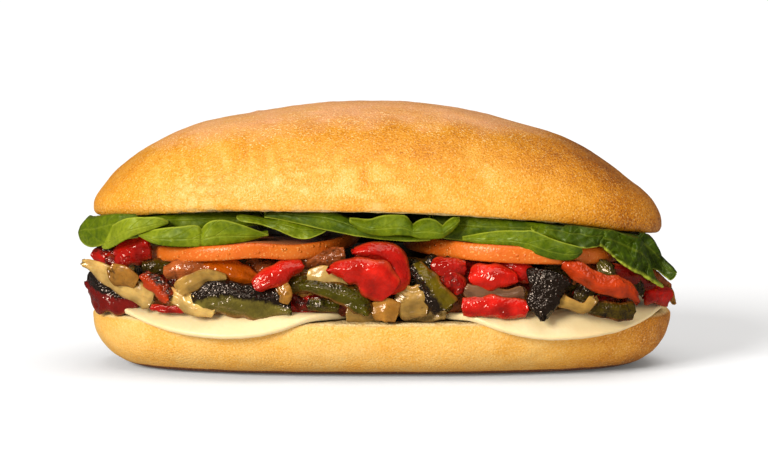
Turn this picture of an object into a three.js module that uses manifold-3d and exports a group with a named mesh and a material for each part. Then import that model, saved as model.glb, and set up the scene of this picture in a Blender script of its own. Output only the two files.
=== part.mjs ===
// A submarine sandwich: a split long roll with cheese slices, a heap of
// roasted vegetable strips, tomato slices and spinach leaves.
// Millimetres, +X along the roll, +Z up, -Y is the open front.
// The origin is the middle of the flat underside of the roll.
import * as THREE from "three";
import { mergeVertices } from "three/addons/utils/BufferGeometryUtils.js";
import Module from "manifold-3d";

// Roll, lower half
const HEEL_HALF_LENGTH = 77.3;
const HEEL_HALF_WIDTH = 37.5;
const HEEL_HEIGHT = 15.5;
const HEEL_SHIFT = 1.2;
// Its side from the foot to the cut, as reach (a share of the oval) and height.
const HEEL_SIDE = [
  [0.7, 0],
  [0.8, 0.9],
  [0.905, 3.3],
  [0.962, 6.8],
  [0.988, 10.4],
  [1, 13.8],
  [0.99, 15],
];
const HEEL_CUT_REACHES = [0.965, 0.5];

// Roll, upper half
const CROWN_HALF_LENGTH = 76.2;
const CROWN_HALF_WIDTH = 38;
const CROWN_TOP = 71.1;
const CROWN_CUT_TOP = 44.1;
const CROWN_CUT_CREST_X = -28;
const CROWN_CUT_DROP_LEFT = 4.5;
const CROWN_CUT_DROP_RIGHT = 9.1;
const CROWN_CUT_POWER = 2.8;
const CROWN_CUT_REACHES = [0.5, 0.82];
const CROWN_TUCK_HEIGHT = 2.6;
const CROWN_TUCK_REACH = 0.968;
const CROWN_TUCK_MIDDLE = [0.99, 0.3];
const CROWN_DOME_ROWS = 8;
const CROWN_DIP_SHARE = 0.045;
const CROWN_DIP_X = -32;
const CROWN_DIP_SPREAD = 17;
const ROLL_SQUARENESS = 2.4;
const ROLL_SIDES = 40;

// Cheese slices
const CHEESE_THICKNESS = 1.9;
const CHEESE_GAP = 0.55;
const CHEESE_BEND = 2;
const CHEESE_BEND_LIMIT = THREE.MathUtils.degToRad(68);
const CHEESE_SIDES = 34;
const CHEESE_RINGS = [0, 0.72, 0.82, 0.9, 0.955];
const CHEESE_RIM_REACH = 0.99;
const CHEESE_RIM_LIFT = 0.8;
const CHEESE_SLICES = [
  { name: "cheese_left", x: -33.4, y: -3.4, radius: 37.2 },
  { name: "cheese_right", x: 40.2, y: -4.2, radius: 35.9 },
];

// Tomato slices
const TOMATO_SIDES = 34;
const TOMATO_RIM_ROUND = 1.3;
const TOMATO_RIM_BLUNTNESS = 0.7;
const TOMATO_RIM_STEPS = 3;
const TOMATO_LOBES = 5;
const TOMATO_LOBE_SHARE = 0.008;
const TOMATO_SLICES = [
  { name: "tomato_left", x: -33.4, y: -9, z: 32.3, radius: 29.5, thickness: 4, tilt: 5 },
  { name: "tomato_right", x: 36.6, y: -9, z: 31.0, radius: 29.5, thickness: 4.6, tilt: -2.6 },
];

// Spinach leaves, draped under the crown and over the edge of the filling.
// across and along place a leaf's middle on the drape before it bends down.
const LEAF_THICKNESS = 0.7;
const LEAF_SPACING = 1.2;
const LEAF_CLEARANCE = 1.1;
const LEAF_WAVE = 0.3;
const LEAF_WAVE_TURN_ALONG = 0.42;
const LEAF_WAVE_TURN_ACROSS = 0.3;
const LEAF_STRETCH = 0.85;
const LEAF_STEM_SHARE = 0.06;
const LEAF_BLADE_SHARE = 0.88;
const LEAF_BLUNTNESS = 0.62;
const LEAF_EDGE = {
  halfLength: 71.5,
  halfWidth: 33.6,
  squareness: 3.6,
  radius: 6.6,
  steepest: Math.PI / 2,
};
const LEAF_STEPS_ALONG = 8;
const LEAF_STEPS_ACROSS = 6;
const LEAVES = [
  { along: -53, across: -22, length: 52, width: 28, turn: -6, layer: 1 },
  { along: -61, across: -32, length: 32, width: 17, turn: -11, layer: 0 },
  { along: -40, across: -30.5, length: 42, width: 21, turn: 2, layer: 3 },
  { along: -24, across: -32, length: 30, width: 15, turn: -20, layer: 0 },
  { along: -7, across: -32, length: 47, width: 17, turn: -12, layer: 2 },
  { along: 8, across: -29, length: 28, width: 20, turn: 0, layer: 1 },
  { along: 33, across: -28, length: 30, width: 22, turn: 3, layer: 2 },
  { along: 33, across: -36, length: 40, width: 15, turn: -3, layer: 0 },
  { along: 50, across: -26, length: 30, width: 22, turn: -8, layer: 1 },
  { along: 69.5, across: -19.5, length: 33, width: 19, turn: 22, layer: 0 },
  { along: 68, across: -2, length: 32, width: 20, turn: 8, layer: 1 },
  { along: -33, across: 1, length: 56, width: 25, turn: 4, layer: 2 },
  { along: 31, across: 1, length: 46, width: 25, turn: -6, layer: 2 },
  { along: -40, across: 30, length: 50, width: 24, turn: -5, layer: 1 },
  { along: 3, across: 30, length: 48, width: 22, turn: 6, layer: 0 },
  { along: 44, across: 29, length: 44, width: 24, turn: 0, layer: 1 },
];

// Heap of roasted vegetable strips
const HEAP_HALF_LENGTH = 68;
const HEAP_HALF_WIDTH = 33;
const HEAP_SQUARENESS = 2.7;
const HEAP_FLOOR = 18;
const HEAP_TOP = 30.6;
const HEAP_GAP = 0.35;
// Its core from under to top, as shares of the oval and of half the height.
const HEAP_SIDE = [
  [0, -1],
  [0.55, -1],
  [0.93, -0.9],
  [1, -0.2],
  [0.98, 0.5],
  [0.86, 1],
  [0, 1],
];
const STRIP_SIDES = 7;
const STRIP_ROWS = 5;
const STRIP_SQUARENESS = 2.6;
const STRIP_ROOT = 28;
// Each strip shows at the front: its two end points (x, z), its depth y, the
// width seen from the front, its thickness, and how far its middle is raised.
const FRONT_STRIPS = [
  { from: [-75, 30.4], to: [-58, 31], y: -19, wide: 5.5, thick: 4.5, rise: 0.8 },
  { from: [-61, 35], to: [-66, 27.4], y: -27, wide: 6, thick: 5, rise: 0.5 },
  { from: [-76, 24], to: [-62, 19.6], y: -14, wide: 6.5, thick: 4.5, rise: 0.6 },
  { from: [-77, 29], to: [-55.5, 20], y: -27, wide: 5, thick: 3.6, rise: -1.4 },
  { from: [-70, 28], to: [-61.5, 25.2], y: -31, wide: 3.2, thick: 2.4, rise: 0.4 },
  { from: [-62, 27.4], to: [-53.5, 20.6], y: -33, wide: 4.4, thick: 4, rise: 0.8 },
  { from: [-60.5, 28.4], to: [-52, 28.6], y: -26, wide: 4, thick: 4, rise: 0 },
  { from: [-55, 28.2], to: [-42, 28.8], y: -34, wide: 4.6, thick: 4.2, rise: 0.6 },
  { from: [-47, 29.4], to: [-31, 25.2], y: -34, wide: 6.4, thick: 4, rise: 1.2 },
  { from: [-51.5, 23.4], to: [-38.5, 26.6], y: -37, wide: 2.8, thick: 2.4, rise: 1.6 },
  { from: [-55.5, 23.6], to: [-42, 18.2], y: -36, wide: 3.4, thick: 3, rise: -0.6 },
  { from: [-59, 19.4], to: [-49.5, 19.2], y: -32, wide: 2.2, thick: 2.6, rise: 0 },
  { from: [-49.5, 21], to: [-21.4, 20], y: -36.5, wide: 8.4, thick: 5.6, rise: 1.2 },
  { from: [-31.8, 24.6], to: [-17, 31], y: -36, wide: 5.4, thick: 4.4, rise: 0.4 },
  { from: [-26, 25.4], to: [-21.4, 20.4], y: -36, wide: 3.6, thick: 2.6, rise: 0 },
  { from: [-23, 23.6], to: [-13.6, 25], y: -33, wide: 5, thick: 4, rise: 0.6 },
  { from: [-18.4, 19.8], to: [-9, 19], y: -34, wide: 2.8, thick: 2.8, rise: -0.3 },
  { from: [-18, 27.6], to: [-7.6, 27.2], y: -35, wide: 4.6, thick: 3, rise: 0.8 },
  { from: [-20, 25], to: [-1.6, 18.2], y: -37, wide: 5.4, thick: 3.6, rise: 1 },
  { from: [-13, 30.6], to: [3, 24], y: -39, wide: 8.6, thick: 5, rise: 1 },
  { from: [-7, 33.6], to: [6.8, 28], y: -35, wide: 9.6, thick: 5.5, rise: 1 },
  { from: [-0.6, 18.6], to: [6.6, 18.8], y: -37, wide: 5.4, thick: 3, rise: 0 },
  { from: [4.8, 19], to: [13.8, 21.6], y: -37, wide: 6.6, thick: 3.2, rise: 0 },
  { from: [8.4, 31], to: [19.6, 18.4], y: -37.5, wide: 5.4, thick: 4, rise: 1 },
  { from: [13.4, 29.6], to: [20.2, 29.4], y: -36, wide: 4.2, thick: 4, rise: 0.4 },
  { from: [18.6, 28], to: [20.8, 23], y: -36, wide: 4.4, thick: 4, rise: 0 },
  { from: [23, 26], to: [36.6, 28.4], y: -37, wide: 6.4, thick: 4.6, rise: 0.6 },
  { from: [31, 28.6], to: [42.6, 27.2], y: -33, wide: 5.2, thick: 4, rise: 0 },
  { from: [21.4, 24], to: [37.6, 23.2], y: -36.5, wide: 2.8, thick: 2.4, rise: -0.8 },
  { from: [21, 19.8], to: [39.4, 19.2], y: -37.5, wide: 5.4, thick: 4.6, rise: 0 },
  { from: [45, 27.8], to: [42.8, 15], y: -39.4, wide: 8.4, thick: 3.6, rise: 0 },
  { from: [45.6, 23.2], to: [58.2, 20], y: -36, wide: 2.6, thick: 2.4, rise: 0 },
  { from: [52, 24], to: [59.2, 22.6], y: -32, wide: 4.6, thick: 3.4, rise: 0 },
  { from: [48.4, 30.6], to: [60, 26], y: -35, wide: 5, thick: 4, rise: 0.4 },
  { from: [57.4, 27], to: [68.6, 20.2], y: -32, wide: 6, thick: 4, rise: 0.8 },
  { from: [56.8, 29.4], to: [63.2, 25.6], y: -28.5, wide: 4.4, thick: 3, rise: 0 },
  { from: [53.4, 18.8], to: [69.2, 17.9], y: -32, wide: 4.4, thick: 3.6, rise: 0.4 },
  { from: [66, 25], to: [71.6, 19.6], y: -21, wide: 3.6, thick: 3, rise: 0 },
  { from: [63, 19.6], to: [79.6, 19.4], y: -14, wide: 5, thick: 4, rise: 0.6 },
  { from: [64, 27], to: [79, 20.6], y: -10, wide: 4, thick: 3.6, rise: 0.6 },
];
// Strips round the back and both ends, laid by a seeded rule.
const BACK_STRIP_COUNT = 16;
const BACK_STRIP_LENGTH = 20;
const BACK_STRIP_LEVELS = [20.6, 24.8, 28.4];
const BACK_HALF_LENGTH = 68;
const BACK_HALF_WIDTH = 32.5;
const BACK_START = -0.07;
const BACK_END = 1.07;
const BACK_LENGTH_LEAST = 0.8;
const BACK_LENGTH_SPREAD = 0.4;
const BACK_LEAN = 2.4;
const BACK_OVERLAP = 1;
const BACK_WIDTH_LEAST = 4.6;
const BACK_WIDTH_SPREAD = 1.4;
const BACK_THICKNESS = 4.4;
const BACK_END_DEPTH = 9;
const BACK_SAG = 0.4;
const SEED = 7;

const COLOURS = {
  heel: "#e0a050",
  crown: "#dc9a48",
  cheese: "#fdedb9",
  tomato: "#e8683a",
  spinach: "#5d7a1c",
  vegetables: "#8a4a22",
};
const SAME_PLACE = 1e-4;
const TINY = 1e-6;

const wasm = await Module();
wasm.setup();

// A repeatable draw between 0 and 1.
function makeRandom(seed) {
  let state = seed;
  return () => {
    state = (state * 16807) % 2147483647;
    return state / 2147483647;
  };
}

const keepSign = (value, power) => Math.sign(value) * Math.abs(value) ** power;

// A point on a superellipse, an oval that the squareness fills out.
function ovalPoint(angle, halfLength, halfWidth, squareness) {
  const x = halfLength * keepSign(Math.cos(angle), 2 / squareness);
  const y = halfWidth * keepSign(Math.sin(angle), 2 / squareness);
  return [x, y];
}

// Height of the crown's cut face, which arches over the filling.
function crownCut(x) {
  const left = Math.max(0, CROWN_CUT_CREST_X - x) / (CROWN_HALF_LENGTH + CROWN_CUT_CREST_X);
  const right = Math.max(0, x - CROWN_CUT_CREST_X) / (CROWN_HALF_LENGTH - CROWN_CUT_CREST_X);
  return CROWN_CUT_TOP - CROWN_CUT_DROP_LEFT * left ** 2 - CROWN_CUT_DROP_RIGHT * right ** CROWN_CUT_POWER;
}

// Joins the shared corners of a shape and drops its empty triangles.
function closed(geometry) {
  geometry.deleteAttribute("normal");
  geometry.deleteAttribute("uv");
  const merged = mergeVertices(geometry, SAME_PLACE);
  const kept = [];
  for (let i = 0; i < merged.index.count; i += 3) {
    const [a, b, c] = [0, 1, 2].map((k) => merged.index.getX(i + k));
    if (a !== b && b !== c && c !== a) {
      kept.push(a, b, c);
    }
  }
  merged.setIndex(kept);
  return merged;
}

// Moves every corner of a shape to the place that the rule gives it.
function reshape(geometry, rule) {
  const position = geometry.attributes.position;
  for (let i = 0; i < position.count; i += 1) {
    const [x, y, z] = rule(position.getX(i), position.getY(i), position.getZ(i));
    position.setXYZ(i, x, y, z);
  }
  return closed(geometry);
}

// A closed round body from a profile of [reach, height], spun about Z.
function spun(profile, sides) {
  const points = profile.map(([reach, height]) => new THREE.Vector2(reach, height));
  return new THREE.LatheGeometry(points, sides).rotateX(Math.PI / 2);
}

function toManifold(geometry) {
  const vertProperties = new Float32Array(geometry.attributes.position.array);
  const triVerts = new Uint32Array(geometry.index.array);
  return new wasm.Manifold(new wasm.Mesh({ numProp: 3, vertProperties, triVerts }));
}

function fromManifold(solid) {
  const mesh = solid.getMesh();
  const geometry = new THREE.BufferGeometry();
  geometry.setAttribute("position", new THREE.BufferAttribute(mesh.vertProperties, 3));
  geometry.setIndex(Array.from(mesh.triVerts));
  return geometry;
}

// The largest shell of a solid, with shut hollows filled and scraps dropped.
function outerShell(solid) {
  const shells = solid.decompose();
  return shells.reduce((best, shell) => (shell.volume() > best.volume() ? shell : best));
}

function named(name, geometry, colour, roughness) {
  const shown = geometry.clone();
  shown.computeVertexNormals();
  const material = new THREE.MeshStandardMaterial({ color: colour, roughness, metalness: 0 });
  const mesh = new THREE.Mesh(shown, material);
  mesh.name = name;
  return mesh;
}

// Lower half of the roll: a boat with a flat underside and a flat cut face.
function heelShape() {
  const cut = HEEL_CUT_REACHES.map((reach) => [reach, HEEL_HEIGHT]);
  const profile = [[0, 0], ...HEEL_SIDE, ...cut, [0, HEEL_HEIGHT]];
  return reshape(spun(profile, ROLL_SIDES), (x, y, z) => {
    const reach = Math.hypot(x, y);
    const angle = Math.atan2(y, x);
    const [ovalX, ovalY] = ovalPoint(angle, HEEL_HALF_LENGTH, HEEL_HALF_WIDTH, ROLL_SQUARENESS);
    return [HEEL_SHIFT + reach * ovalX, reach * ovalY, z];
  });
}

// Upper half of the roll: a long dome whose edge tucks in above the cut.
function crownShape() {
  const face = CROWN_CUT_REACHES.map((reach) => [reach, 0]);
  const profile = [[0, 0], ...face, [CROWN_TUCK_REACH, 0], CROWN_TUCK_MIDDLE];
  for (let row = 0; row <= CROWN_DOME_ROWS; row += 1) {
    const lift = (row / CROWN_DOME_ROWS) * (Math.PI / 2);
    profile.push([row === CROWN_DOME_ROWS ? 0 : Math.cos(lift), 1 + Math.sin(lift)]);
  }
  return reshape(spun(profile, ROLL_SIDES), (x, y, z) => {
    const reach = Math.hypot(x, y);
    const angle = Math.atan2(y, x);
    const [ovalX, ovalY] = ovalPoint(angle, CROWN_HALF_LENGTH, CROWN_HALF_WIDTH, ROLL_SQUARENESS);
    const placeX = reach * ovalX;
    const cut = crownCut(placeX);
    const tuck = Math.min(z, 1) * CROWN_TUCK_HEIGHT;
    const fromDip = (placeX - CROWN_DIP_X) / CROWN_DIP_SPREAD;
    const shoulder = 1 - CROWN_DIP_SHARE * Math.exp(-(fromDip ** 2));
    const dome = Math.max(0, z - 1) * (CROWN_TOP - CROWN_CUT_TOP - CROWN_TUCK_HEIGHT) * shoulder;
    return [placeX, reach * ovalY, cut + tuck + dome];
  });
}

// Bends a flat sheet over the edge of an oval. The edge has its half sizes,
// a bend radius and the steepest angle it bends to. Depth is how far the
// point lies inside the radius. Gives the new x and y and how far it sinks.
function overEdge(x, y, depth, edge) {
  const power = edge.squareness;
  const shareX = Math.abs(x / edge.halfLength);
  const shareY = Math.abs(y / edge.halfWidth);
  const size = Math.max((shareX ** power + shareY ** power) ** (1 / power), TINY);
  const slopeX = (Math.sign(x) * (shareX / size) ** (power - 1)) / edge.halfLength;
  const slopeY = (Math.sign(y) * (shareY / size) ** (power - 1)) / edge.halfWidth;
  const slope = Math.max(Math.hypot(slopeX, slopeY), TINY);
  const past = Math.max(0, (size - 1) / slope);
  const bend = Math.min(past / edge.radius, edge.steepest);
  const hang = past - bend * edge.radius;
  const reach = edge.radius - depth;
  const outward = reach * Math.sin(bend) + hang * Math.cos(bend) - past;
  const down = depth + reach * (1 - Math.cos(bend)) + hang * Math.sin(bend);
  return [x + (slopeX / slope) * outward, y + (slopeY / slope) * outward, down];
}

// A round cheese slice that lies on the cut face and bends over its edge,
// grown on all sides when it cuts a space.
function cheeseShape({ x: middleX, y: middleY, radius }, grow) {
  const half = CHEESE_THICKNESS / 2;
  const rim = CHEESE_RIM_LIFT * half;
  const under = CHEESE_RINGS.map((reach) => [reach, -half]);
  const over = CHEESE_RINGS.map((reach) => [reach, half]).reverse();
  const profile = [...under, [CHEESE_RIM_REACH, -rim], [1, 0], [CHEESE_RIM_REACH, rim], ...over];
  const edge = {
    halfLength: HEEL_HALF_LENGTH - CHEESE_BEND,
    halfWidth: HEEL_HALF_WIDTH - CHEESE_BEND,
    squareness: ROLL_SQUARENESS,
    radius: CHEESE_BEND + CHEESE_GAP + half,
    steepest: CHEESE_BEND_LIMIT,
  };
  return reshape(spun(profile, CHEESE_SIDES), (x, y, z) => {
    const spread = radius + grow;
    const lift = z * (1 + grow / half);
    const flatX = middleX + spread * x - HEEL_SHIFT;
    const [placeX, placeY, down] = overEdge(flatX, middleY + spread * y, -lift, edge);
    return [HEEL_SHIFT + placeX, placeY, HEEL_HEIGHT + CHEESE_GAP + half - down];
  });
}

// A tomato slice with a rounded rim, grown on all sides when it cuts a space.
function tomatoShape({ x: middleX, y: middleY, z: base, radius, thickness, tilt }, grow) {
  const reach = radius + grow;
  const half = thickness / 2 + grow;
  const profile = [[0, -half]];
  for (let step = 0; step <= TOMATO_RIM_STEPS; step += 1) {
    const lift = (step / TOMATO_RIM_STEPS - 0.5) * Math.PI;
    const round = 1 - keepSign(Math.cos(lift), TOMATO_RIM_BLUNTNESS);
    profile.push([reach - TOMATO_RIM_ROUND * round, half * Math.sin(lift)]);
  }
  profile.push([0, half]);
  const turn = THREE.MathUtils.degToRad(tilt);
  return reshape(spun(profile, TOMATO_SIDES), (x, y, z) => {
    const angle = Math.atan2(y, x);
    const uneven = 1 + TOMATO_LOBE_SHARE * Math.sin(TOMATO_LOBES * angle + middleX);
    const side = x * uneven;
    const placeX = middleX + side * Math.cos(turn) - z * Math.sin(turn);
    const placeZ = base + thickness / 2 + side * Math.sin(turn) + z * Math.cos(turn);
    return [placeX, middleY + y * uneven, placeZ];
  });
}

// A closed sheet: the same grid above and below, joined round its edge.
function sheetShape(stepsAlong, stepsAcross, rule) {
  const grid = new THREE.PlaneGeometry(2, 2, stepsAlong, stepsAcross);
  const flat = grid.attributes.position;
  const count = flat.count;
  const corners = [];
  for (const side of [1, -1]) {
    for (let i = 0; i < count; i += 1) {
      corners.push(...rule(flat.getX(i), flat.getY(i), side));
    }
  }
  const faces = Array.from(grid.index.array);
  for (let i = 0; i < grid.index.count; i += 3) {
    const [a, b, c] = [0, 1, 2].map((k) => grid.index.getX(i + k));
    faces.push(a + count, c + count, b + count);
  }
  const row = stepsAlong + 1;
  const rim = [];
  for (let i = 0; i < stepsAlong; i += 1) rim.push(i);
  for (let j = 0; j < stepsAcross; j += 1) rim.push(j * row + stepsAlong);
  for (let i = stepsAlong; i > 0; i -= 1) rim.push(stepsAcross * row + i);
  for (let j = stepsAcross; j > 0; j -= 1) rim.push(j * row);
  for (let k = 0; k < rim.length; k += 1) {
    const here = rim[k];
    const next = rim[(k + 1) % rim.length];
    faces.push(here, next, next + count, here, next + count, here + count);
  }
  const geometry = new THREE.BufferGeometry();
  geometry.setAttribute("position", new THREE.Float32BufferAttribute(corners, 3));
  geometry.setIndex(faces);
  return geometry;
}

// A spinach leaf: a wavy blade, widest before its middle, with a blunt tip.
function leafShape({ along, across, length, width, turn, layer }) {
  const heading = THREE.MathUtils.degToRad(turn);
  const geometry = sheetShape(LEAF_STEPS_ALONG, LEAF_STEPS_ACROSS, (s, t, side) => {
    const stretch = keepSign(s, LEAF_STRETCH);
    const fromStem = LEAF_STEM_SHARE + LEAF_BLADE_SHARE * ((1 + stretch) / 2) ** LEAF_STRETCH;
    const blade = Math.sin(Math.PI * fromStem) ** LEAF_BLUNTNESS;
    const u = (stretch * length) / 2;
    const v = (t * blade * width) / 2;
    const flatX = along + u * Math.cos(heading) - v * Math.sin(heading);
    const flatY = across + u * Math.sin(heading) + v * Math.cos(heading);
    const crest = Math.cos(flatX * LEAF_WAVE_TURN_ALONG) * Math.cos(flatY * LEAF_WAVE_TURN_ACROSS);
    const wave = LEAF_WAVE * (1 - crest);
    const depth = layer * LEAF_SPACING + wave - (side * LEAF_THICKNESS) / 2;
    const [placeX, placeY, down] = overEdge(flatX, flatY, depth, LEAF_EDGE);
    return [placeX, placeY, crownCut(placeX) - LEAF_CLEARANCE - down];
  });
  return closed(geometry);
}

// A roasted strip: a soft bar bent along a curve, thinner towards its ends.
function stripShape({ from, to, y, wide, thick, rise }) {
  const start = new THREE.Vector3(from[0], y, from[1]);
  const end = new THREE.Vector3(to[0], y, to[1]);
  const across = new THREE.Vector3().subVectors(end, start).setY(0).normalize();
  const raised = new THREE.Vector3(-across.z, 0, across.x).multiplyScalar(Math.sign(across.x) || 1);
  const middle = start.clone().add(end).multiplyScalar(0.5).addScaledVector(raised, 2 * rise);
  const spine = new THREE.QuadraticBezierCurve3(start, middle, end);
  const ball = new THREE.SphereGeometry(1, STRIP_SIDES, STRIP_ROWS).rotateZ(-Math.PI / 2);
  return reshape(ball, (x, lift, side) => {
    const along = (x + 1) / 2;
    const ring = Math.sqrt(Math.max(0, 1 - x * x));
    const full = Math.max(0, 1 - Math.abs(x) ** STRIP_SQUARENESS) ** (1 / STRIP_SQUARENESS);
    const swell = ring > TINY ? full / ring : 0;
    const point = spine.getPoint(along);
    const tangent = spine.getTangent(along);
    const up = new THREE.Vector3(-tangent.z, 0, tangent.x);
    const inward = side * y > 0;
    const depth = inward ? Math.max(thick / 2, Math.abs(y) - STRIP_ROOT) : thick / 2;
    point.addScaledVector(up, (lift * swell * wide) / 2);
    point.y -= side * swell * depth;
    return [point.x, point.y, point.z];
  });
}

// The strip that shows at a place round the back or an end of the heap.
function backStrip(index, random) {
  const share = (index + 0.5) / BACK_STRIP_COUNT;
  const angle = THREE.MathUtils.lerp(BACK_START, BACK_END, share) * Math.PI;
  const [x, y] = ovalPoint(angle, BACK_HALF_LENGTH, BACK_HALF_WIDTH, HEAP_SQUARENESS);
  const level = BACK_STRIP_LEVELS[index % BACK_STRIP_LEVELS.length];
  const half = (BACK_STRIP_LENGTH / 2) * (BACK_LENGTH_LEAST + BACK_LENGTH_SPREAD * random());
  const lean = BACK_LEAN * (random() - 0.5);
  const facing = Math.abs(y) / BACK_HALF_WIDTH;
  return {
    from: [x - half * facing, level + lean],
    to: [x + half * facing + BACK_OVERLAP, level - lean],
    y,
    wide: BACK_WIDTH_LEAST + BACK_WIDTH_SPREAD * random(),
    thick: BACK_THICKNESS + (1 - facing) * BACK_END_DEPTH,
    rise: random() - BACK_SAG,
  };
}

// The whole heap: a low core with the strips that show fused onto it, and
// room left for the slices and leaves that rest on it.
function heapShape(cutters) {
  const middle = (HEAP_FLOOR + HEAP_TOP) / 2;
  const half = (HEAP_TOP - HEAP_FLOOR) / 2;
  const core = reshape(spun(HEAP_SIDE, ROLL_SIDES), (x, y, z) => {
    const reach = Math.hypot(x, y);
    const angle = Math.atan2(y, x);
    const [ovalX, ovalY] = ovalPoint(angle, HEAP_HALF_LENGTH, HEAP_HALF_WIDTH, HEAP_SQUARENESS);
    return [reach * ovalX, reach * ovalY, middle + half * z];
  });
  const random = makeRandom(SEED);
  const strips = FRONT_STRIPS.map(stripShape);
  for (let index = 0; index < BACK_STRIP_COUNT; index += 1) {
    strips.push(stripShape(backStrip(index, random)));
  }
  let heap = toManifold(core);
  for (const strip of strips) {
    heap = heap.add(toManifold(strip));
  }
  for (const cutter of cutters) {
    heap = heap.subtract(toManifold(cutter));
  }
  return fromManifold(outerShell(heap));
}

const group = new THREE.Group();
group.add(named("bun_heel", heelShape(), COLOURS.heel, 0.6));
group.add(named("bun_crown", crownShape(), COLOURS.crown, 0.55));
for (const slice of CHEESE_SLICES) {
  group.add(named(slice.name, cheeseShape(slice, 0), COLOURS.cheese, 0.45));
}
for (const slice of TOMATO_SLICES) {
  group.add(named(slice.name, tomatoShape(slice, 0), COLOURS.tomato, 0.3));
}
LEAVES.forEach((leaf, index) => {
  const name = `spinach_${String(index + 1).padStart(2, "0")}`;
  group.add(named(name, leafShape(leaf), COLOURS.spinach, 0.4));
});
const spaces = TOMATO_SLICES.map((slice) => tomatoShape(slice, HEAP_GAP));
spaces.push(...CHEESE_SLICES.map((slice) => cheeseShape(slice, HEAP_GAP)));
group.add(named("roasted_vegetables", heapShape(spaces), COLOURS.vegetables, 0.35));

export default group;
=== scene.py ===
# %% [markdown]
# # A submarine sandwich
# The sandwich is a long split roll with cheese, roasted vegetable strips, tomato and
# spinach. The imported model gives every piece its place. Here each piece gets the shape
# and the finish of the real food, in the same frame and at the same size.

# %% Load the frame
import math
from collections import namedtuple

import bmesh
import bpy
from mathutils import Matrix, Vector, noise


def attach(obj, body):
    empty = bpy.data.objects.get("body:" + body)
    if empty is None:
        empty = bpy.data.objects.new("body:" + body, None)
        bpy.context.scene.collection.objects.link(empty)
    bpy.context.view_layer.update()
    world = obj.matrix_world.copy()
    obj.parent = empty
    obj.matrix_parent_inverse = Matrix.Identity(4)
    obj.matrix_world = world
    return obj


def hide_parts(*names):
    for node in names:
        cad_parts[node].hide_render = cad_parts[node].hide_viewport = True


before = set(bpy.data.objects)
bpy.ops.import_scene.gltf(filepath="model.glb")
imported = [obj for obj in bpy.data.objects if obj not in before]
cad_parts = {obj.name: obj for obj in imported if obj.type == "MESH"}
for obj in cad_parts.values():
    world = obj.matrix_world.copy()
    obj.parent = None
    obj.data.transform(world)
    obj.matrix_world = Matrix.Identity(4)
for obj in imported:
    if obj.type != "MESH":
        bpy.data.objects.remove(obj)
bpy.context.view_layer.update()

print("nodes to dress:", len(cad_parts))

# %% [markdown]
# Every size below is in millimetres, as a cook would measure it. A finished mesh is
# scaled to metres once, in one helper, so that the numbers stay easy to read and the
# object itself stays at the origin, unturned and unscaled. The helper also hides the
# nodes of the imported model that the piece stands for.

# %% Making a finished piece
MM = 0.001


def finish_piece(name, bm, nodes, material):
    """Turns a bmesh in millimetres into a smooth piece that stands for its nodes."""
    bmesh.ops.scale(bm, vec=(MM, MM, MM), verts=bm.verts)
    mesh = bpy.data.meshes.new(name)
    bm.to_mesh(mesh)
    bm.free()
    mesh.shade_smooth()
    piece = bpy.data.objects.new(name, mesh)
    bpy.context.scene.collection.objects.link(piece)
    piece.data.materials.append(material)
    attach(piece, "root")
    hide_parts(*nodes)
    print(name, len(mesh.polygons), "faces")
    return piece


# %% [markdown]
# A few shapes of number come back in every piece: an oval that is a little squarer
# than an ellipse, soft lumps from noise, and a ramp that eases from 0 to 1. Most pieces
# start as a ball, whose points are then moved by their angles. A closed ball has no
# open rim and no seam, so the food looks whole from every side.

# %% Shape helpers
QUARTER = math.pi / 2


def keep_sign(value, power):
    return math.copysign(abs(value) ** power, value)


def oval(angle, half_length, half_width, squareness):
    """A point on an oval that the squareness fills out towards a rectangle."""
    x = half_length * keep_sign(math.cos(angle), 2 / squareness)
    y = half_width * keep_sign(math.sin(angle), 2 / squareness)
    return x, y


LUMP_FADE = 0.6
LUMP_STEP = 2.1


def lumps(place, size, layers=3):
    """Smooth lumps between about -1 and 1, as large as the given size."""
    return noise.fractal(place / size, LUMP_FADE, LUMP_STEP, layers, noise_basis="PERLIN_ORIGINAL")


def ease(low, high, value):
    share = max(0.0, min(1.0, (value - low) / (high - low)))
    return share * share * (3 - 2 * share)


def ball_angles(co):
    """The angle down from the top of a ball, and the angle round it."""
    return math.acos(max(-1.0, min(1.0, co.z))), math.atan2(co.y, co.x)


def new_ball(grid):
    """A ball with so many points round it and so many rows of them."""
    bm = bmesh.new()
    bmesh.ops.create_uvsphere(bm, u_segments=grid[0], v_segments=grid[1], radius=1)
    return bm


def new_values(bm, *names):
    """Attributes that hold one number a point, for the finish to read."""
    for name in names:
        bm.verts.layers.float.new(name)
    return [bm.verts.layers.float[name] for name in names]


def along_curve(stations, share):
    """A smooth value between rows of numbers, at a share of the way along them."""
    spot = max(0.0, min(1.0, share)) * (len(stations) - 1)
    first = min(int(spot), len(stations) - 2)
    part = spot - first
    before = stations[max(first - 1, 0)]
    here = stations[first]
    there = stations[first + 1]
    after = stations[min(first + 2, len(stations) - 1)]
    made = []
    for a, b, c, d in zip(before, here, there, after):
        bend = 2 * b + (c - a) * part + (2 * a - 5 * b + 4 * c - d) * part**2
        made.append((bend + (3 * b - a - 3 * c + d) * part**3) / 2)
    return made


print("an eased ramp from 0 to 1, half way:", ease(0, 1, 0.5))

# %% [markdown]
# Materials are node trees. These short helpers add one node each, so that a finish
# below reads as a recipe: a noise, a ramp of colours, a mix, a bump. Scales of noise
# count the spots in a metre, so 1000 gives spots of about a millimetre.

# %% Material helpers
def new_finish(name, roughness):
    material = bpy.data.materials.new(name)
    material.use_nodes = True
    tree = material.node_tree
    shader = tree.nodes["Principled BSDF"]
    shader.inputs["Roughness"].default_value = roughness
    place = tree.nodes.new("ShaderNodeTexCoord").outputs["Object"]
    return material, tree, shader, place


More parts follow.
